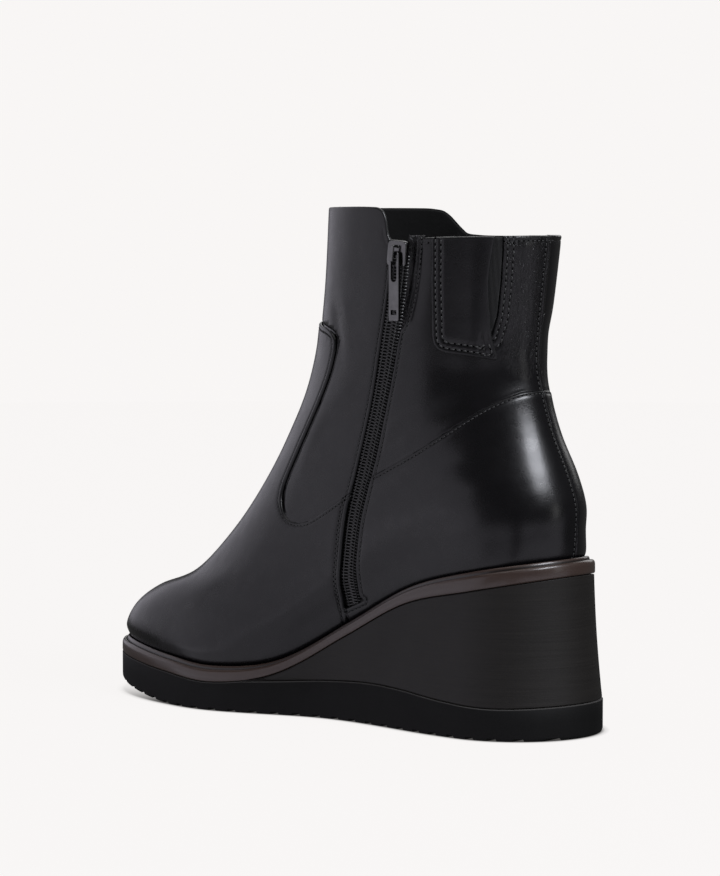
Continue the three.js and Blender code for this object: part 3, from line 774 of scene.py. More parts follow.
def make_sole_looks():
    look = Look("brown_welt", Coat_Roughness=0.22, Specular_IOR_Level=0.4)
    streak = look.noise(1, 4, 0.6, look.stretched(60, 60, 420))
    speckle = look.noise(900, 3)
    tint = look.mix(streak, (0.036, 0.021, 0.017, 1), (0.06, 0.039, 0.031, 1))
    # The groove mark paints shade into the welt's groove, almost black.
    tint = look.mix(look.mark("groove") * 0.95, tint, grey(0.003))
    look.drive(Base_Color=tint, Roughness=0.3 + streak * 0.16, Coat_Weight=0.45 + speckle * 0.3)
    look.bump((streak, 0.08), (speckle, 0.02))
    LOOKS["welt"] = look.material

    look = Look("wedge_cover", Specular_IOR_Level=0.34)
    streak = look.noise(1, 5, 0.65, look.stretched(28, 28, 900))
    cloud = look.noise(40, 3)
    look.drive(Base_Color=look.mix(streak, grey(0.006, 0.1), grey(0.017, 0.12)),
               Roughness=0.4 + cloud * 0.12 + streak * 0.12)
    look.bump((streak, 0.09), (look.noise(1400, 2), 0.02))
    LOOKS["wedge"] = look.material

    look = Look("sole_rubber", Specular_IOR_Level=0.16)
    dust = look.noise(1800, 3)
    tint = look.mix(look.noise(60, 3), grey(0.004), grey(0.0085))
    # The rim mark paints a highlight: the rubber turns much lighter along its upper rounded edge.
    look.drive(Base_Color=look.mix(look.mark("rim"), tint, grey(0.07, 0.04)),
               Roughness=0.55 + dust * 0.15)
    look.bump((dust, 0.03), (look.noise(260, 2), 0.06))
    LOOKS["rubber"] = look.material


def make_inside_looks():
    look = Look("dark_lining", Roughness=0.85, Specular_IOR_Level=0.25,
                Sheen_Weight=0.08, Sheen_Roughness=0.5)
    nap = look.noise(900, 4, 0.7)
    look.drive(Base_Color=look.mix(nap * 0.6 + look.noise(70, 3) * 0.4, grey(0.001), grey(0.008)))
    look.bump((nap, 0.14), (look.noise(120, 3), 0.3))
    LOOKS["lining"] = look.material

    look = Look("insock_leather", Specular_IOR_Level=0.4)
    pores = look.cells(1100)
    look.drive(Base_Color=look.mix(look.noise(150), grey(0.008), grey(0.016)),
               Roughness=0.5 + look.noise(90) * 0.2)
    look.bump((pores, 0.05))
    LOOKS["insock"] = look.material

    look = Look("ribbed_elastic", Roughness=0.8, Specular_IOR_Level=0.3, Sheen_Weight=0.2)
    threads = look.noise(1, 3, 0.6, look.stretched(3000, 3000, 1200))
    look.drive(Base_Color=look.mix(threads, grey(0.004), grey(0.014)))
    look.bump((threads, 0.1))
    LOOKS["elastic"] = look.material


def make_zip_looks():
    look = Look("zip_cloth", Roughness=0.7, Specular_IOR_Level=0.4)
    weave = look.node("ShaderNodeTexWave", {"bands_direction": "Z"},
                      {"Vector": look.places, "Scale": 700, "Distortion": 2})
    ribs = look.node("ShaderNodeMath", {"operation": "SINE"}, {0: look.mark("across") * 11.0})
    look.drive(Base_Color=look.mix(weave, grey(0.006), grey(0.022)))
    look.bump((weave, 0.08), (ribs, 0.1))
    LOOKS["tape"] = look.material

    look = Look("zip_nylon", Specular_IOR_Level=0.6, Coat_Weight=0.3, Coat_Roughness=0.2)
    look.drive(Base_Color=look.mix(look.noise(500), grey(0.008), grey(0.02)),
               Roughness=0.24 + look.noise(700) * 0.15)
    look.bump((look.noise(2500), 0.02))
    LOOKS["coil"] = look.material

    look = Look("black_nickel", Metallic=1.0)
    look.drive(Base_Color=look.mix(look.noise(300), grey(0.1), grey(0.2)),
               Roughness=0.12 + look.noise(900, 4) * 0.12)
    look.bump((look.noise(1200), 0.012))
    LOOKS["metal"] = look.material


def make_stage_looks():
    look = Look("studio_floor", Roughness=0.95, Specular_IOR_Level=0.0, Emission_Strength=0.918)
    # The under mark paints the contact shadow under the sole: a darker base colour and a near-black glow
    # there.
    under = look.mark("under")
    glow = look.mix(look.noise(2), *PAPER_WHITES)
    look.drive(Base_Color=look.mix(under, grey(0.03), grey(0.01)),
               Emission_Color=look.mix(under, glow, (0.012, 0.01, 0.009, 1)))
    LOOKS["floor"] = look.material

    look = Look("studio_wall", Roughness=0.95, Specular_IOR_Level=0.0, Emission_Strength=0.94)
    look.drive(Base_Color=look.mix(look.noise(3), grey(0.004), grey(0.006)),
               Emission_Color=look.mix(look.noise(2), *PAPER_WHITES))
    LOOKS["wall"] = look.material


make_leather_looks()
make_sole_looks()
make_inside_looks()
make_zip_looks()
make_stage_looks()


def grown(name, chains, tree, sizes, slot):
    """The plain mesh that a node tree makes along chains of points with their outward directions."""
    edges, first = [], 0
    for points, _ in chains:
        edges += [(first + k, first + k + 1) for k in range(len(points) - 1)]
        first += len(points)
    path = bpy.data.meshes.new(name + "_path")
    path.from_pydata((np.vstack([points for points, _ in chains]) * MM).tolist(), edges, [])
    set_mark(path, "out", np.vstack([directions for _, directions in chains]))
    carrier = new_object(name + "_path", path)
    modifier = carrier.modifiers.new("grow", "NODES")
    modifier.node_group = tree
    for item in tree.interface.items_tree:
        if item.in_out == "INPUT" and item.name in sizes:
            modifier[item.identifier] = sizes[item.name] * MM
    graph = bpy.context.evaluated_depsgraph_get()
    mesh = bpy.data.meshes.new_from_object(carrier.evaluated_get(graph), depsgraph=graph)
    mesh.name = name
    mesh.shade_smooth()
    bpy.data.objects.remove(carrier)
    settle(new_object(name, mesh), slot)


class Tree:
    """A Geometry Nodes tree in the making, which repeats a small piece along its input path."""

    def __init__(self, name, sizes):
        self.tree = bpy.data.node_groups.new(name, "GeometryNodeTree")
        self.tree.interface.new_socket("Geometry", in_out="INPUT", socket_type="NodeSocketGeometry")
        for size, value in sizes.items():
            socket = self.tree.interface.new_socket(size, in_out="INPUT", socket_type="NodeSocketFloat")
            socket.default_value = value * MM
        self.tree.interface.new_socket("Geometry", in_out="OUTPUT", socket_type="NodeSocketGeometry")
        self.input = self.tree.nodes.new("NodeGroupInput")
        self.lay_path()

    def node(self, kind, settings, values):
        return add_node(self.tree, kind, settings, values).outputs[0]

    def lay_path(self):
        """Points along the path, and the turn that lays a piece along it with its top outwards."""
        curve = self.node("GeometryNodeMeshToCurve", {}, {"Mesh": self.input.outputs["Geometry"]})
        self.points = self.node("GeometryNodeResampleCurve", {"mode": "LENGTH"},
                                {"Curve": curve, "Length": self.input.outputs["Pitch"]})
        tangent = self.node("GeometryNodeInputTangent", {}, {})
        outward = self.node("GeometryNodeInputNamedAttribute", {"data_type": "FLOAT_VECTOR"}, {"Name": "out"})
        lie = self.node("FunctionNodeAlignRotationToVector", {"axis": "X"}, {"Vector": tangent})
        self.stand = self.node("FunctionNodeAlignRotationToVector", {"axis": "Z", "pivot_axis": "X"},
                               {"Rotation": lie, "Vector": outward})

    def times(self, first, second):
        return self.node("ShaderNodeMath", {"operation": "MULTIPLY"}, {0: first, 1: second})

    def size(self, name, share):
        return self.times(self.input.outputs[name], share)

    def vector(self, x=0.0, y=0.0, z=0.0):
        return self.node("ShaderNodeCombineXYZ", {}, {0: x, 1: y, 2: z})

    def thread(self, start, start_handle, end_handle, end, sides):
        """A round thread along a curve from its start to its end."""
        corners = {"Start": start, "Start Handle": start_handle, "End Handle": end_handle, "End": end}
        values = {name: self.vector(*corner) for name, corner in corners.items()}
        arc = self.node("GeometryNodeCurvePrimitiveBezierSegment", {}, {"Resolution": 5, **values})
        ring = self.node("GeometryNodeCurvePrimitiveCircle", {"mode": "RADIUS"},
                         {"Resolution": sides, "Radius": self.size("Thick", 0.5)})
        return self.node("GeometryNodeCurveToMesh", {},
                         {"Curve": arc, "Profile Curve": ring, "Fill Caps": True})

    def repeat(self, piece):
        return self.node("GeometryNodeInstanceOnPoints", {},
                         {"Points": self.points, "Instance": piece, "Rotation": self.stand})

    def finish(self, geometry, look):
        real = self.node("GeometryNodeRealizeInstances", {}, {0: geometry})
        made = self.node("GeometryNodeSetMaterial", {}, {"Geometry": real, "Material": look})
        self.tree.links.new(made, self.tree.nodes.new("NodeGroupOutput").inputs[0])
        return self.tree


STITCH_SIZES = {"Pitch": 2.0, "Length": 1.6, "Thick": 0.6}
COIL_SIZES = {"Pitch": 1.35, "Half width": 3.9, "Thick": 0.85}


def stitch_tree():
    """Thread stitches, sunk at both their ends."""
    tree = Tree("stitch_row", STITCH_SIZES)
    reach = tree.size("Length", 0.5)
    sunk, risen = tree.size("Thick", -0.6), tree.size("Thick", 0.55)
    stitch = tree.thread((tree.times(reach, -1.0), 0.0, sunk), (tree.times(reach, -0.8), 0.0, risen),
                         (tree.times(reach, 0.8), 0.0, risen), (reach, 0.0, sunk), sides=6)
    return tree.finish(tree.repeat(stitch), LOOKS["thread"])


def hole_tree():
    """Small near-black discs where the thread goes down between two stitches: painted shade of the needle
    holes.
    """
    tree = Tree("needle_holes", STITCH_SIZES)
    shade_disc = tree.node("GeometryNodeMeshCylinder", {"fill_type": "NGON"},
                    {"Vertices": 7, "Radius": tree.size("Thick", 0.72), "Depth": tree.size("Thick", 0.3)})
    moved = tree.node("GeometryNodeTransform", {},
                      {"Geometry": shade_disc, "Translation": tree.vector(tree.size("Pitch", 0.5))})
    return tree.finish(tree.repeat(moved), LOOKS["hole"])


def coil_tree():
    """Two rows of interlocked nylon loops along the zip's middle."""
    tree = Tree("zip_coil_rows", COIL_SIZES)
    both = tree.tree.nodes.new("GeometryNodeJoinGeometry")
    rows = []
    for side, shift in ((1.0, 0.0), (-1.0, 0.5)):
        lean = tree.size("Pitch", shift)
        tip = tree.node("ShaderNodeMath", {"operation": "ADD"}, {0: lean, 1: tree.size("Pitch", 0.34)})
        wide = tree.size("Half width", side)
        loop = tree.thread((lean, wide, tree.size("Thick", -0.8)),
                           (lean, tree.times(wide, 0.92), tree.size("Thick", 0.2)),
                           (tip, tree.times(wide, 0.4), tree.size("Thick", 0.25)),
                           (tip, tree.times(wide, -0.1), tree.size("Thick", -0.3)), sides=7)
        rows.append(tree.repeat(loop))
    for row in rows:
        tree.tree.links.new(row, both.inputs[0])
    return tree.finish(both.outputs[0], LOOKS["coil"])


def band_faces(count, low, high):
    """Faces between two loops of points, each given by the number of its first point."""
    return [(low + j, low + (j + 1) % count, high + (j + 1) % count, high + j) for j in range(count)]


def cap_faces(rim):
    """Faces across a solid's end, each between two opposite steps of its rim."""
    last = len(rim) - 1
    faces = []
    for j in range(last // 2):
        corners = tuple(dict.fromkeys((rim[j], rim[j + 1], rim[last - j - 1], rim[last - j])))
        if len(corners) > 2:
            faces.append(corners)
    return faces


def loft(name, loops, look, ring=False, marks=None, sharp=30, pointed=False):
    """A closed solid through loops of points that follow each other from below to above. A pointed
    one has its first and last points beside each other, where its two walls run together."""
    count, many = len(loops[0]), len(loops)
    place = np.vstack(loops)
    faces = []
    for k in range(many if ring else many - 1):
        faces += band_faces(count, k * count, (k + 1) % many * count)
    if not ring:
        rim = list(range(count)) if pointed else [*range(count), 0]
        faces += [corners[::-1] for corners in cap_faces(rim)]
        faces += cap_faces([(many - 1) * count + j for j in rim])
    volume = 0.0
    for face in faces:
        corners = place[list(face)]
        for k in range(1, len(face) - 1):
            volume += np.dot(corners[0], np.cross(corners[k], corners[k + 1]))
    if volume < 0:
        faces = [face[::-1] for face in faces]
    spread = {mark: np.repeat(np.asarray(values, float), count) for mark, values in (marks or {}).items()}
    return add_piece(name, place, faces, look, spread, sharp)


# The welt's outer band, groove and lip: share of its margin from the outer edge, share of its height
WELT_SECTION = [(0.125, 0), (0.03, 0.03), (0, 0.1), (0, 0.35), (0.01, 0.56), (0.05, 0.66), (0.15, 0.745),
                (0.3, 0.79), (0.4, 0.78), (0.445, 0.73), (0.47, 0.64), (0.5, 0.63), (0.53, 0.7), (0.57, 0.84),
                (0.62, 0.93), (0.69, 0.985), (0.76, 1.0)]

# The wedge's top edge and the insock's: distance in from the sides, height over the welt's underside
WEDGE_TOP = [(0.35, -GAP - 0.3), (0.6, -GAP), (3.0, SINK)]
INSOCK_SECTION = [(0.0, 0.0), (0.0, 3.6), (0.25, 4.2), (0.9, 4.6), (6, 4.45), (14, 4.3)]

# The outsole's lower edge over the floor, and its upper edge over the wedge's or the welt's underside
OUTSOLE_FOOT = [(0.9, 0.0), (0.35, 0.28), (0.05, 0.9), (0.0, 1.6)]
OUTSOLE_TOP = [(0.0, -0.5), (0.25, -0.12), (0.9, 0.0), (3.0, GAP + SINK)]


def make_sole():
    settle(welt_strip(), "welt", "welt")
    settle(wedge_block(), "wedge", "wedge")
    settle(outsole_unit(), "outsole_rubber", "outsole")
    loops = [outline_loop(lambda s: taper(s) + WELT_LEDGE + INSOCK_GAP + depth,
                          lambda s: welt_bottom(s) + rise, turn(240)) for depth, rise in INSOCK_SECTION]
    settle(loft("insock", loops, LOOKS["insock"], sharp=40), "lining", "insole")


def welt_strip():
    angles = turn(480)

    def band(depth, up, rise=0.0):
        return outline_loop(lambda s: taper(s) + depth,
                            lambda s: welt_bottom(s) + welt_height(s) * up + rise, angles)

    lip = WELT_MARGIN - OVERLAY_FACE - GAP
    tuck = -UPPER_TUCK - GAP
    loops = [band(WELT_LEDGE, 0)] + [band(WELT_MARGIN * depth, up) for depth, up in WELT_SECTION]
    loops += [band(lip, 1, -0.12), band(lip + 0.02, 1, tuck), band(WELT_LEDGE, 1, tuck)]
    # Painted shade in the welt's groove, darkest at its middle.
    dark = [float(np.clip(2.4 - abs(depth - 0.5) / 0.045, 0, 1)) for depth, _ in WELT_SECTION]
    marks = {"groove": [0, *dark, 0, 0, 0]}
    return loft("welt_strip", loops, LOOKS["welt"], ring=True, marks=marks, sharp=50)


def wedge_block():
    """The wedge, a little waisted between its lower and its upper edge."""
    angles = turn(480)
    angles = angles[share_at(angles) >= WEDGE_START]
    loops = [outline_loop(0.7, lambda s: parting(s) + GAP, angles),
             outline_loop(0.4, lambda s: parting(s) + GAP + 0.35, angles)]
    for t in np.arange(1, 12) / 12:
        waist = 0.5 * math.sin(math.pi * t)
        loops.append(outline_loop(
            lambda s: 0.4 + waist + taper(s) * t,
            lambda s: (parting(s) + GAP) * (1 - t) + (welt_bottom(s) - GAP) * t, angles))
    loops += [outline_loop(lambda s: depth + taper(s), lambda s: welt_bottom(s) + rise, angles)
              for depth, rise in WEDGE_TOP]
    return loft("wedge_block", loops, LOOKS["wedge"], pointed=True)


# Tread bars: the pitch of the grooves between them, a groove's width and depth, and how far its floor
# and its edges lie from its middle, as shares of its width
BAR_PITCH = 9.5
BAR_GROOVE = 3.5
BAR_DEPTH = 1.2
GROOVE_FLOOR = 0.42
GROOVE_EDGE = 0.55


def outsole_unit():
    """The outsole: its edge runs in and out of the grooves between the tread bars."""
    end = SOLE_LENGTH / 2
    middles = np.arange(-end + BAR_PITCH, end - BAR_GROOVE, BAR_PITCH)
    shares = (-GROOVE_EDGE, -GROOVE_FLOOR, 0, GROOVE_FLOOR, GROOVE_EDGE)
    stops = [middle + share * BAR_GROOVE for middle in middles for share in shares]

    def in_groove(x, margin):
        return (np.abs(x - middles) <= GROOVE_FLOOR * BAR_GROOVE + margin).any()

    spaced = np.concatenate([np.linspace(-end, end, 130), end * np.cos(np.linspace(0, math.pi, 90))])
    clear = [x for x in spaced if not in_groove(x, 0.7)]
    xs = np.array(sorted(set(np.round(stops + clear, 4))))
    xs = xs[np.concatenate([[True], np.diff(xs) > 0.12])]
    xs[0], xs[-1] = -end, end
    deep = np.array([in_groove(x, 0.05) for x in xs], float)
    half = np.arccos(np.clip(-xs / end, -1, 1))
    angles = np.concatenate([half, 2 * math.pi - half[-2:0:-1]])
    grooves = np.concatenate([deep, deep[-2:0:-1]]) * BAR_DEPTH

    def top(share):
        return np.where(share < WEDGE_START, welt_bottom(share) - GAP, parting(share))

    def foot(inset, rise):
        loop = outline_loop(inset, floor_height, angles)
        loop[:, 2] += np.maximum(rise, grooves + 0.02 * rise)
        return loop

    loops = [foot(inset, rise) for inset, rise in OUTSOLE_FOOT]
    loops.append(outline_loop(0.0, lambda s: floor_height(s) + (top(s) - floor_height(s)) * 0.55, angles))
    loops += [outline_loop(inset, lambda s: top(s) + rise, angles) for inset, rise in OUTSOLE_TOP]
    # Painted highlight along the upper rounded edge: the top loops are lighter.
    rim = [0, 0, 0, 0, 0, 0, 1, 1, 1]
    return loft("outsole_unit", loops, LOOKS["rubber"], sharp=38, marks={"rim": rim})


def about(level):
    """Levels at the bottom and on both banks of a sewn groove."""
    return level - 0.4, level, level + 0.4


def groove(distance, level):
    return trough(distance, level, 0.4, 0.3)


def vamp_and_counter(form):
    """The leather under the curved seam, laid over the shaft's."""
    low = form.copy().keep("overlay", low=0).keep("slot", low=0)
    low.cuts("overlay", *EDGE_STEPS).cuts("sewn", *about(SEAM_ROW))
    low.cuts("slot", *EDGE_STEPS, *about(SLOT_ROW))
    low.cuts("zip", *about(FACING_FOLD), *about(FACING_ROW)).cuts("back", *BACK_STEPS, BACK_ROW)
    far, (x, y, z) = low.far, low.place.T
    face = OVERLAY_FACE + far["crease"] - fallen(far["overlay"], 0.9) - fallen(far["slot"], 0.9)
    face -= groove(far["sewn"], SEAM_ROW) + groove(far["slot"], SLOT_ROW)
    face -= trough(far["back"], 0, 0.4, 0.35) * low.behind()

    # A crevice beside the welt, shallower round the toe
    face -= (0.25 + 0.75 * ramp(x, -90, -30)) * np.exp(-np.maximum(far["rise"], 0) / 1.4)

    # The sewn facing beside the zip, and a fold that runs on below the slot
    slot_end = side_line(SLOT_END)[0][1]
    inner_side = ramp(y, 0, -5)
    face -= trough(far["zip"], FACING_ROW, 0.35, 0.45) * inner_side
    face -= trough(far["zip"], FACING_FOLD, 0.45, 0.75) * inner_side * ramp(z, slot_end + 2, slot_end - 1)
    back = np.minimum(OVERLAY_FACE + far["crease"] - 1.0, face - 0.1)
    # The edge mark paints a highlight along the folded edges of the seam and the slot.
    edge = np.exp(-far["overlay"] / 0.7) + np.exp(-far["slot"] / 0.8)
    marks = {"edge": np.clip(edge, 0, 1), "crumple": np.zeros(len(face))}
    settle(shell("vamp_and_counter", low, face, back, LOOKS["leather"], marks), "leather", "upper")
    clear = far["overlay"] > 0.6
    return {
        "seam": low.line("sewn", SEAM_ROW, face),
        "slot_low": low.line("slot", SLOT_ROW, face, clear),
        "facing": low.line("zip", FACING_ROW, face + 0.1, clear & (y < 0) & (far["rise"] > 3)),
        "back_low": low.line("back", BACK_ROW, face, (far["overlay"] > 2.4) & low.behind()),
    }


def shaft_leather(form):
    """The leather over the seam, which runs on a little under the vamp and the counter."""
    high = form.copy().keep("overlay", high=2.5).keep("slot", low=0).keep("collar", low=0).keep("gore", low=0)
    high.cuts("overlay", -1.6, -1.1, -0.7, -0.4, -0.1)
    high.cuts("slot", *EDGE_STEPS, *about(SLOT_ROW)).cuts("collar", *EDGE_STEPS, *about(COLLAR_ROW))
    high.cuts("gore", *EDGE_STEPS, *about(GORE_ROWS[0]), *about(GORE_ROWS[1]))
    high.cuts("back", *BACK_STEPS, BACK_ROW)
    far, (x, y, z) = high.far, high.place.T
    rear = z < 208
    face = SHAFT_FACE + far["crease"] - fallen(far["slot"], 0.9) - fallen(far["collar"], 0.8)
    face -= fallen(far["gore"], 0.9) + groove(far["slot"], SLOT_ROW)
    face -= groove(far["gore"], GORE_ROWS[0]) + groove(far["gore"], GORE_ROWS[1])
    face -= trough(far["back"], 0, 0.4, 0.35) * high.behind()
    face -= trough(far["collar"], COLLAR_ROW, 0.4, 0.25) * rear

    # Beside the seam the leather swells up to the edge, or dips deeply where that stands out
    face += 0.75 * np.exp(far["overlay"] / 6) * (1 - far["bead"]) * (far["overlay"] < 0)
    face -= trough(far["overlay"], -0.4, 0.7, 0.12) + trough(far["overlay"], -0.4, 0.7, 0.75) * far["bead"]

    # The slot's rear edge turns in beside the slider
    flare = ramp(x, 52, 55) * ramp(z, 160, 174)
    face -= 1.5 * np.exp(-np.maximum(far["slot"], 0) / 2.4) * flare
    back = np.minimum(SHAFT_FACE + far["crease"] - 1.0, face - 0.25)

    # Painted highlight along the folded edges, and wrinkles on the strip behind the gore and along its folded
    # collar
    edge = np.exp(-far["slot"] / 0.8) + np.exp(-far["collar"] / 0.8) + np.exp(-far["gore"] / 0.8)
    strip = ramp(x, 93, 96) * (y < 2) * ramp(z, 146, 156)
    folded = np.exp(-far["collar"] / 2.2) * ramp(x, 93, 96)
    marks = {"edge": np.clip(edge, 0, 1), "crumple": np.clip(strip + 0.8 * folded, 0, 1)}
    settle(shell("shaft_leather", high, face, back, LOOKS["leather"], marks), "leather")
    clear = (far["overlay"] < -0.6) & (far["collar"] > 1.5)
    beside = (x > 88) & (far["collar"] > 1.5)
    open_rim = (far["slot"] > 2) & (far["gore"] > 1) & rear & (x > 55) & (y < 3)
    return {
        "slot_high": high.line("slot", SLOT_ROW, face, clear),
        "back_high": high.line("back", BACK_ROW, face, clear & high.behind()),
        "collar": high.line("collar", COLLAR_ROW, face, open_rim),
        "strip_near": high.line("gore", GORE_ROWS[0], face, beside),
        "strip_far": high.line("gore", GORE_ROWS[1], face, beside & (z > 160)),
    }


def gore_cover(form):
    """The flap over the gore, sewn on along its front and foot and free along its rear edge."""
    flap = form.copy().keep("flap", low=0).keep("collar", low=0)
    flap.cuts("flap", *EDGE_STEPS, *about(FLAP_ROWS[0]), *about(FLAP_ROWS[1])).cuts("collar", *EDGE_STEPS)
    far, (x, _, z) = flap.far, flap.place.T
    free = ramp(x, 82, 85) * ramp(z, 160, 166)
    bulge = 0.25 * np.exp(-(((x - 85) / 8) ** 2)) * ramp(z, 158, 170)
    face = 0.7 + bulge + free * 0.15 + far["crease"] - fallen(far["flap"], 0.8) - fallen(far["collar"], 0.6)
    for level in FLAP_ROWS:
        face -= trough(far["flap"], level, 0.45, 0.3) * (1 - free)
    back = SHAFT_FACE + GAP + far["crease"]
    face = np.maximum(face, back + 0.08)
    # The edge mark paints a highlight along the flap's folded edges.
    edge = np.exp(-far["flap"] / 0.7) + np.exp(-far["collar"] / 0.7)
    marks = {"edge": np.clip(edge, 0, 1), "crumple": np.zeros(len(face))}
    settle(shell("gore_cover", flap, face, back, LOOKS["leather"], marks), "leather", "gore_flap")
    sewn = (free < 0.05) & (far["collar"] > 1.2)
    return {
        "flap_outer": flap.line("flap", FLAP_ROWS[0], face, sewn & ((x < 90) | (z < 160))),
        "flap_inner": flap.line("flap", FLAP_ROWS[1], face, sewn & ((x < 88) | (z < 163))),
    }


def gore_and_lining(form):
    """Elastic with upright ribs in the gore, and the lining inside the boot."""
    gore = form.copy().keep("gore", high=-0.5).keep("collar", low=0.4)
    ribs = SHAFT_FACE - GAP - 0.25 + 0.22 * np.sin(gore.place[:, 0] * 2 * math.pi / 1.6)
    behind = np.full(len(ribs), SHAFT_FACE - GAP - 1.4)
    settle(shell("gore_band", gore, ribs, behind, LOOKS["elastic"]), "elastic", "gore_elastic")

    lining = Skin(*COARSE_GRID).keep("slot", low=0.4).keep("collar", low=0.5)
    lining.cuts("collar", 0.75, 1.1).cuts("slot", 0.7, 1.1)
    far, soft = lining.far, creases(lining.place)
    outer = SHAFT_FACE - 1.15 + soft
    inner = LINING_FACE + soft + fallen(far["collar"] - 0.5, 0.5) + fallen(far["slot"] - 0.4, 0.5)
    settle(shell("shaft_lining", lining, outer, np.minimum(inner, outer - 0.1), LOOKS["lining"]), "lining")


def make_zip(form):
    """A cloth tape behind the slot, two rows of nylon loops, a fold of leather and two top stops."""
    top = side_point(SLIDER_POINT)[1] + 4.2
    foot = side_line(SLOT_END)[0][1] + 0.8
    inner = form.copy()
    inner.far["inner"] = inner.place[:, 1].copy()
    inner.keep("inner", high=-5)

    tape = inner.copy().keep("zip", low=-10, high=10).keep("height", low=foot, high=top)
    tape.cuts("zip", -3.4, 3.4)
    face = np.full(len(tape.place), TAPE_FACE)
    settle(shell("zip_band", tape, face, face - 0.8, LOOKS["tape"], {"across": tape.far["zip"]}),
           "zip", "zip_tape")

    chain = inner.copy().keep("height", low=foot - 1.6, high=top - 6).cuts("zip", -TAPE_ROW, 0, TAPE_ROW)
    level = np.full(len(chain.place), SHAFT_FACE)
    grown("zip_coil", chain.line("zip", 0, level - 0.45), coil_tree(), COIL_SIZES, "zip")

    fold = inner.copy().keep("zip", low=-10.5, high=-3.3).keep("height", low=163, high=205.2)
    fold.cuts("zip", *[-3.8 - 0.55 * k for k in range(12)])
    rise = ramp(fold.far["height"], 163, 188)
    waves = np.sin((fold.far["zip"] + 3.3) * 1.4 + rise * 1.5)
    face = TAPE_FACE + 0.35 + rise * (0.55 + 0.55 * waves)
    marks = {"edge": np.zeros(len(face)), "crumple": rise}
    settle(shell("zip_fold", fold, face, face - 0.5, LOOKS["leather"], marks), "zip")

    near = tape.copy().keep("height", top - 2.6, top - 0.8).cuts("zip", -3.1, 3.1)
    closest = [int(np.abs(near.far["zip"] - side).argmin()) for side in (-3.1, 3.1)]
    spots = [(near.place[k] + near.outward[k] * (TAPE_FACE + 1.5), near.outward[k]) for k in closest]
    settle(top_stops(spots), "hardware")
    return {"zip": [row for side in (-TAPE_ROW, TAPE_ROW) for row in chain.line("zip", side, level - 0.05)]}


def make_upper():
    """All the leather, cloth and zip over the sole, and the lines along which they are sewn."""
    form = Skin(*FINE_GRID)
    form.far["crease"] = creases(form.place)
    rows = {**vamp_and_counter(form), **shaft_leather(form), **gore_cover(form)}
    gore_and_lining(form)
    rows.update(make_zip(form))
    return rows


def top_stops(spots):
    """Two small metal clamps that close the chain's two sides over the slider."""
    work = bmesh.new()
    for middle, outward in spots:
        made = bmesh.ops.create_cube(work, size=1)["verts"]
        turned = Vector(outward).to_track_quat("X", "Z").to_matrix()
        for corner in made:
            shape = Vector((corner.co.x * 1.5, corner.co.y * 2.3, corner.co.z * 2.0))
            corner.co = (turned @ shape + Vector(middle)) * MM
    return soft_edged(work, "top_stops", 0.3, LOOKS["metal"])


# Stitches: the lines that they follow, their pitch, length and thread, their slot, and whether they have
# painted shade of needle holes between them
STITCHES = {
    "seam_stitches": (("seam", "slot_low", "slot_high", "facing", "back_low", "back_high", "collar"),
                      (2.0, 1.35, 0.5), "leather", True),
    "gore_stitches": (("flap_outer", "flap_inner", "strip_near", "strip_far"),
                      (2.5, 1.6, 0.75), "leather", True),
    "zip_stitches": (("zip",), (1.35, 1.05, 0.6), "zip", False),
}


def make_stitches(rows):
    stitch, hole = stitch_tree(), hole_tree()
    for name, (lines, measures, slot, hole_shaded) in STITCHES.items():
        chains = [chain for line in lines for chain in rows[line]]
        sizes = dict(zip(STITCH_SIZES, measures))
        grown(name, chains, stitch, sizes, slot)
        if hole_shaded:
            grown(name + "_holes", chains, hole, sizes, slot)


def bevelled(node, name, width, look):
    """A CAD solid's own shape with soft edges."""
    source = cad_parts[node]
    work = bmesh.new()
    work.from_mesh(source.data)
    bmesh.ops.remove_doubles(work, verts=work.verts, dist=0.00001)
    bmesh.ops.dissolve_limit(work, angle_limit=math.radians(2), verts=work.verts, edges=work.edges)
    return soft_edged(work, name, width, look)


def soft_edged(work, name, width, look):
    mesh = bpy.data.meshes.new(name)
    work.to_mesh(mesh)
    work.free()
    mesh.materials.append(look)
    mesh.shade_smooth()
    piece = new_object(name, mesh)
    bevel = piece.modifiers.new("soft_edges", "BEVEL")
    bevel.width = width * MM
    bevel.segments = 3
    bevel.limit_method = "ANGLE"
    bevel.angle_limit = math.radians(35)
    bevel.harden_normals = True
    return piece


def make_hardware():
    settle(bevelled("zip_slider", "slider", 0.35, LOOKS["metal"]), "hardware", "zip_slider")
    settle(bevelled("pull_tab", "pull", 0.3, LOOKS["metal"]), "hardware", "pull_tab", body="pull")


def ring_sheet(name, rings, look, marks):
    """An open sheet through rings of points that follow each other outwards, facing up or inwards."""
    count = len(rings[0])
    faces = []
    for k in range(len(rings) - 1):
        faces += band_faces(count, k * count, (k + 1) * count)
    return add_piece(name, np.vstack(rings), faces, look, marks)


def level_ring(radius, height, angles):
    """A level circle in millimetres whose points run round like the sole's outline."""
    return np.stack([-radius * np.cos(angles), -radius * np.sin(angles), np.full(len(angles), height)], 1)


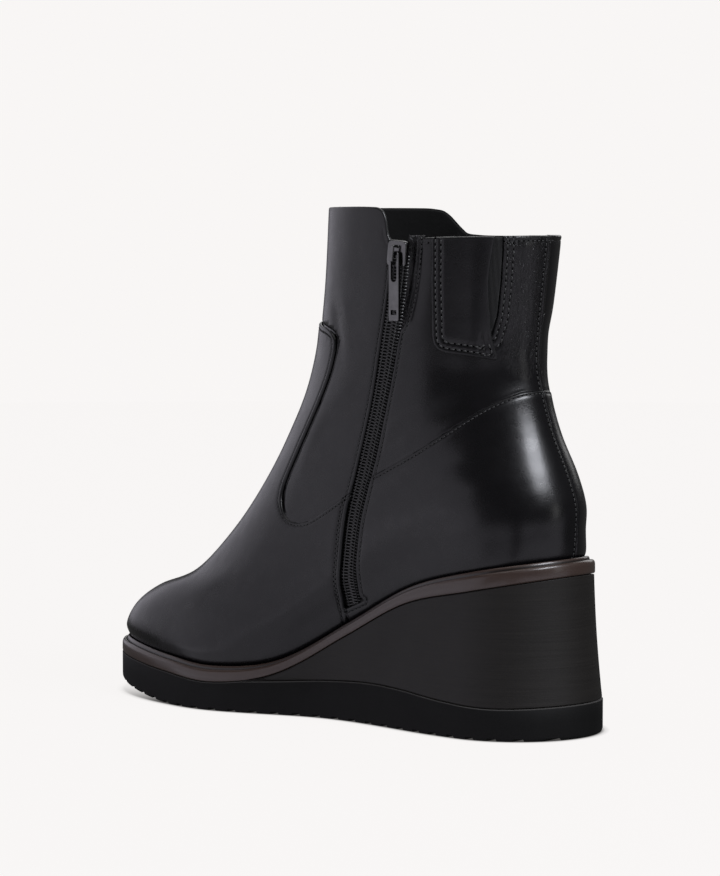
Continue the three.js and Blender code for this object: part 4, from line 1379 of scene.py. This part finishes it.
# Soft boxes round the boot: place in metres, width and height of the face, its brightness and colour.
# Those below the floor stand for what the pale floor throws back.
COOL = (0.97, 0.94, 1.06)
WHITE = (1, 1, 1)
LAMPS = {
    "front_bank": ((-1.35, -2.05, 0.35), 3.3, 1.75, 0.6, COOL),
    "floor_front": ((-0.55, -2.05, -1.05), 5.2, 1.5, 0.54, COOL),
    "floor_right": ((1.85, -0.33, -0.68), 2.7, 1.05, 0.56, COOL),
    "floor_near": ((-0.3, -1.1, -2.0), 3.0, 1.3, 0.45, COOL),
    "toe_bank": ((-2.3, 0.2, 0.9), 2.6, 1.9, 0.56, COOL),
    "overhead": ((-0.2, 0.1, 2.4), 1.8, 1.8, 1.2, WHITE),
    "heel_strip": ((1.61, -0.14, 1.5), 0.85, 0.8, 15.0, (0.96, 0.98, 1.05)),
    "heel_low": ((2.1, 0.25, 0.3), 0.4, 0.8, 1.2, WHITE),
    "far_bank": ((-0.8, 2.1, 1.2), 2.4, 1.6, 1.0, WHITE),
}
LAMPS_AIM = Vector((0, 0, 0.1))


def add_lamps():
    for name, (place, wide, tall, radiance, colour) in LAMPS.items():
        data = bpy.data.lights.new(name, "AREA")
        data.color = colour
        data.shape = "RECTANGLE"
        data.size, data.size_y = wide, tall
        data.energy = radiance * math.pi * wide * tall
        light = new_object(name, data)
        light.location = place
        light.rotation_euler = (LAMPS_AIM - Vector(place)).to_track_quat("-Z", "Y").to_euler()
        light.visible_camera = False


# The contact shadow painted on the floor under the sole: distance in from its outline, how dark it is there
CONTACT_SHADE = [(34, 0.8), (8, 0.9), (2.2, 0.95), (0.8, 0.9), (0, 0.55), (-1, 0.2), (-3, 0)]
FLOOR_RADIUS = 2400
FLOOR_BEND = 3000


def make_stage():
    """A round pale floor with a contact shadow painted under the sole, which curves up far away on every
    side, the lamps and the world's light.
    """
    around = turn(160)
    rings = [outline_loop(inset, lambda s: 0 * s, around) for inset, _ in CONTACT_SHADE]
    rings += [level_ring(FLOOR_RADIUS * share, 0, around) for share in (0.1, 0.2, 0.4, 0.7, 1)]
    # The painted shadow is paler under the toe, which is lifted off the floor.
    paler_toe = np.clip(share_at(around) / 0.2, 0.12, 1)
    under = [dark * paler_toe for _, dark in CONTACT_SHADE]
    under = np.concatenate(under + [np.zeros(len(around) * (len(rings) - len(under)))])
    floor = ring_sheet("studio_floor", rings, LOOKS["floor"], {"under": under})
    rings = [level_ring(FLOOR_RADIUS + FLOOR_BEND * math.sin(a), FLOOR_BEND * (1 - math.cos(a)), around)
             for a in np.linspace(0, math.pi / 2, 15)]
    backdrop = ring_sheet("studio_backdrop", rings, LOOKS["wall"], {})
    for sheet in (floor, backdrop):
        sheet.visible_glossy = False
        sheet.visible_diffuse = False
        sheet.visible_shadow = False
    add_lamps()
    world = bpy.data.worlds.new("studio")
    world.use_nodes = True
    colour, strength = world.node_tree.nodes["Background"].inputs[:2]
    colour.default_value = (1, 0.995, 0.98, 1)
    strength.default_value = 0.065
    bpy.context.scene.world = world
    bpy.context.scene.view_settings.view_transform = "Standard"


make_sole()
make_stitches(make_upper())
make_hardware()
make_stage()
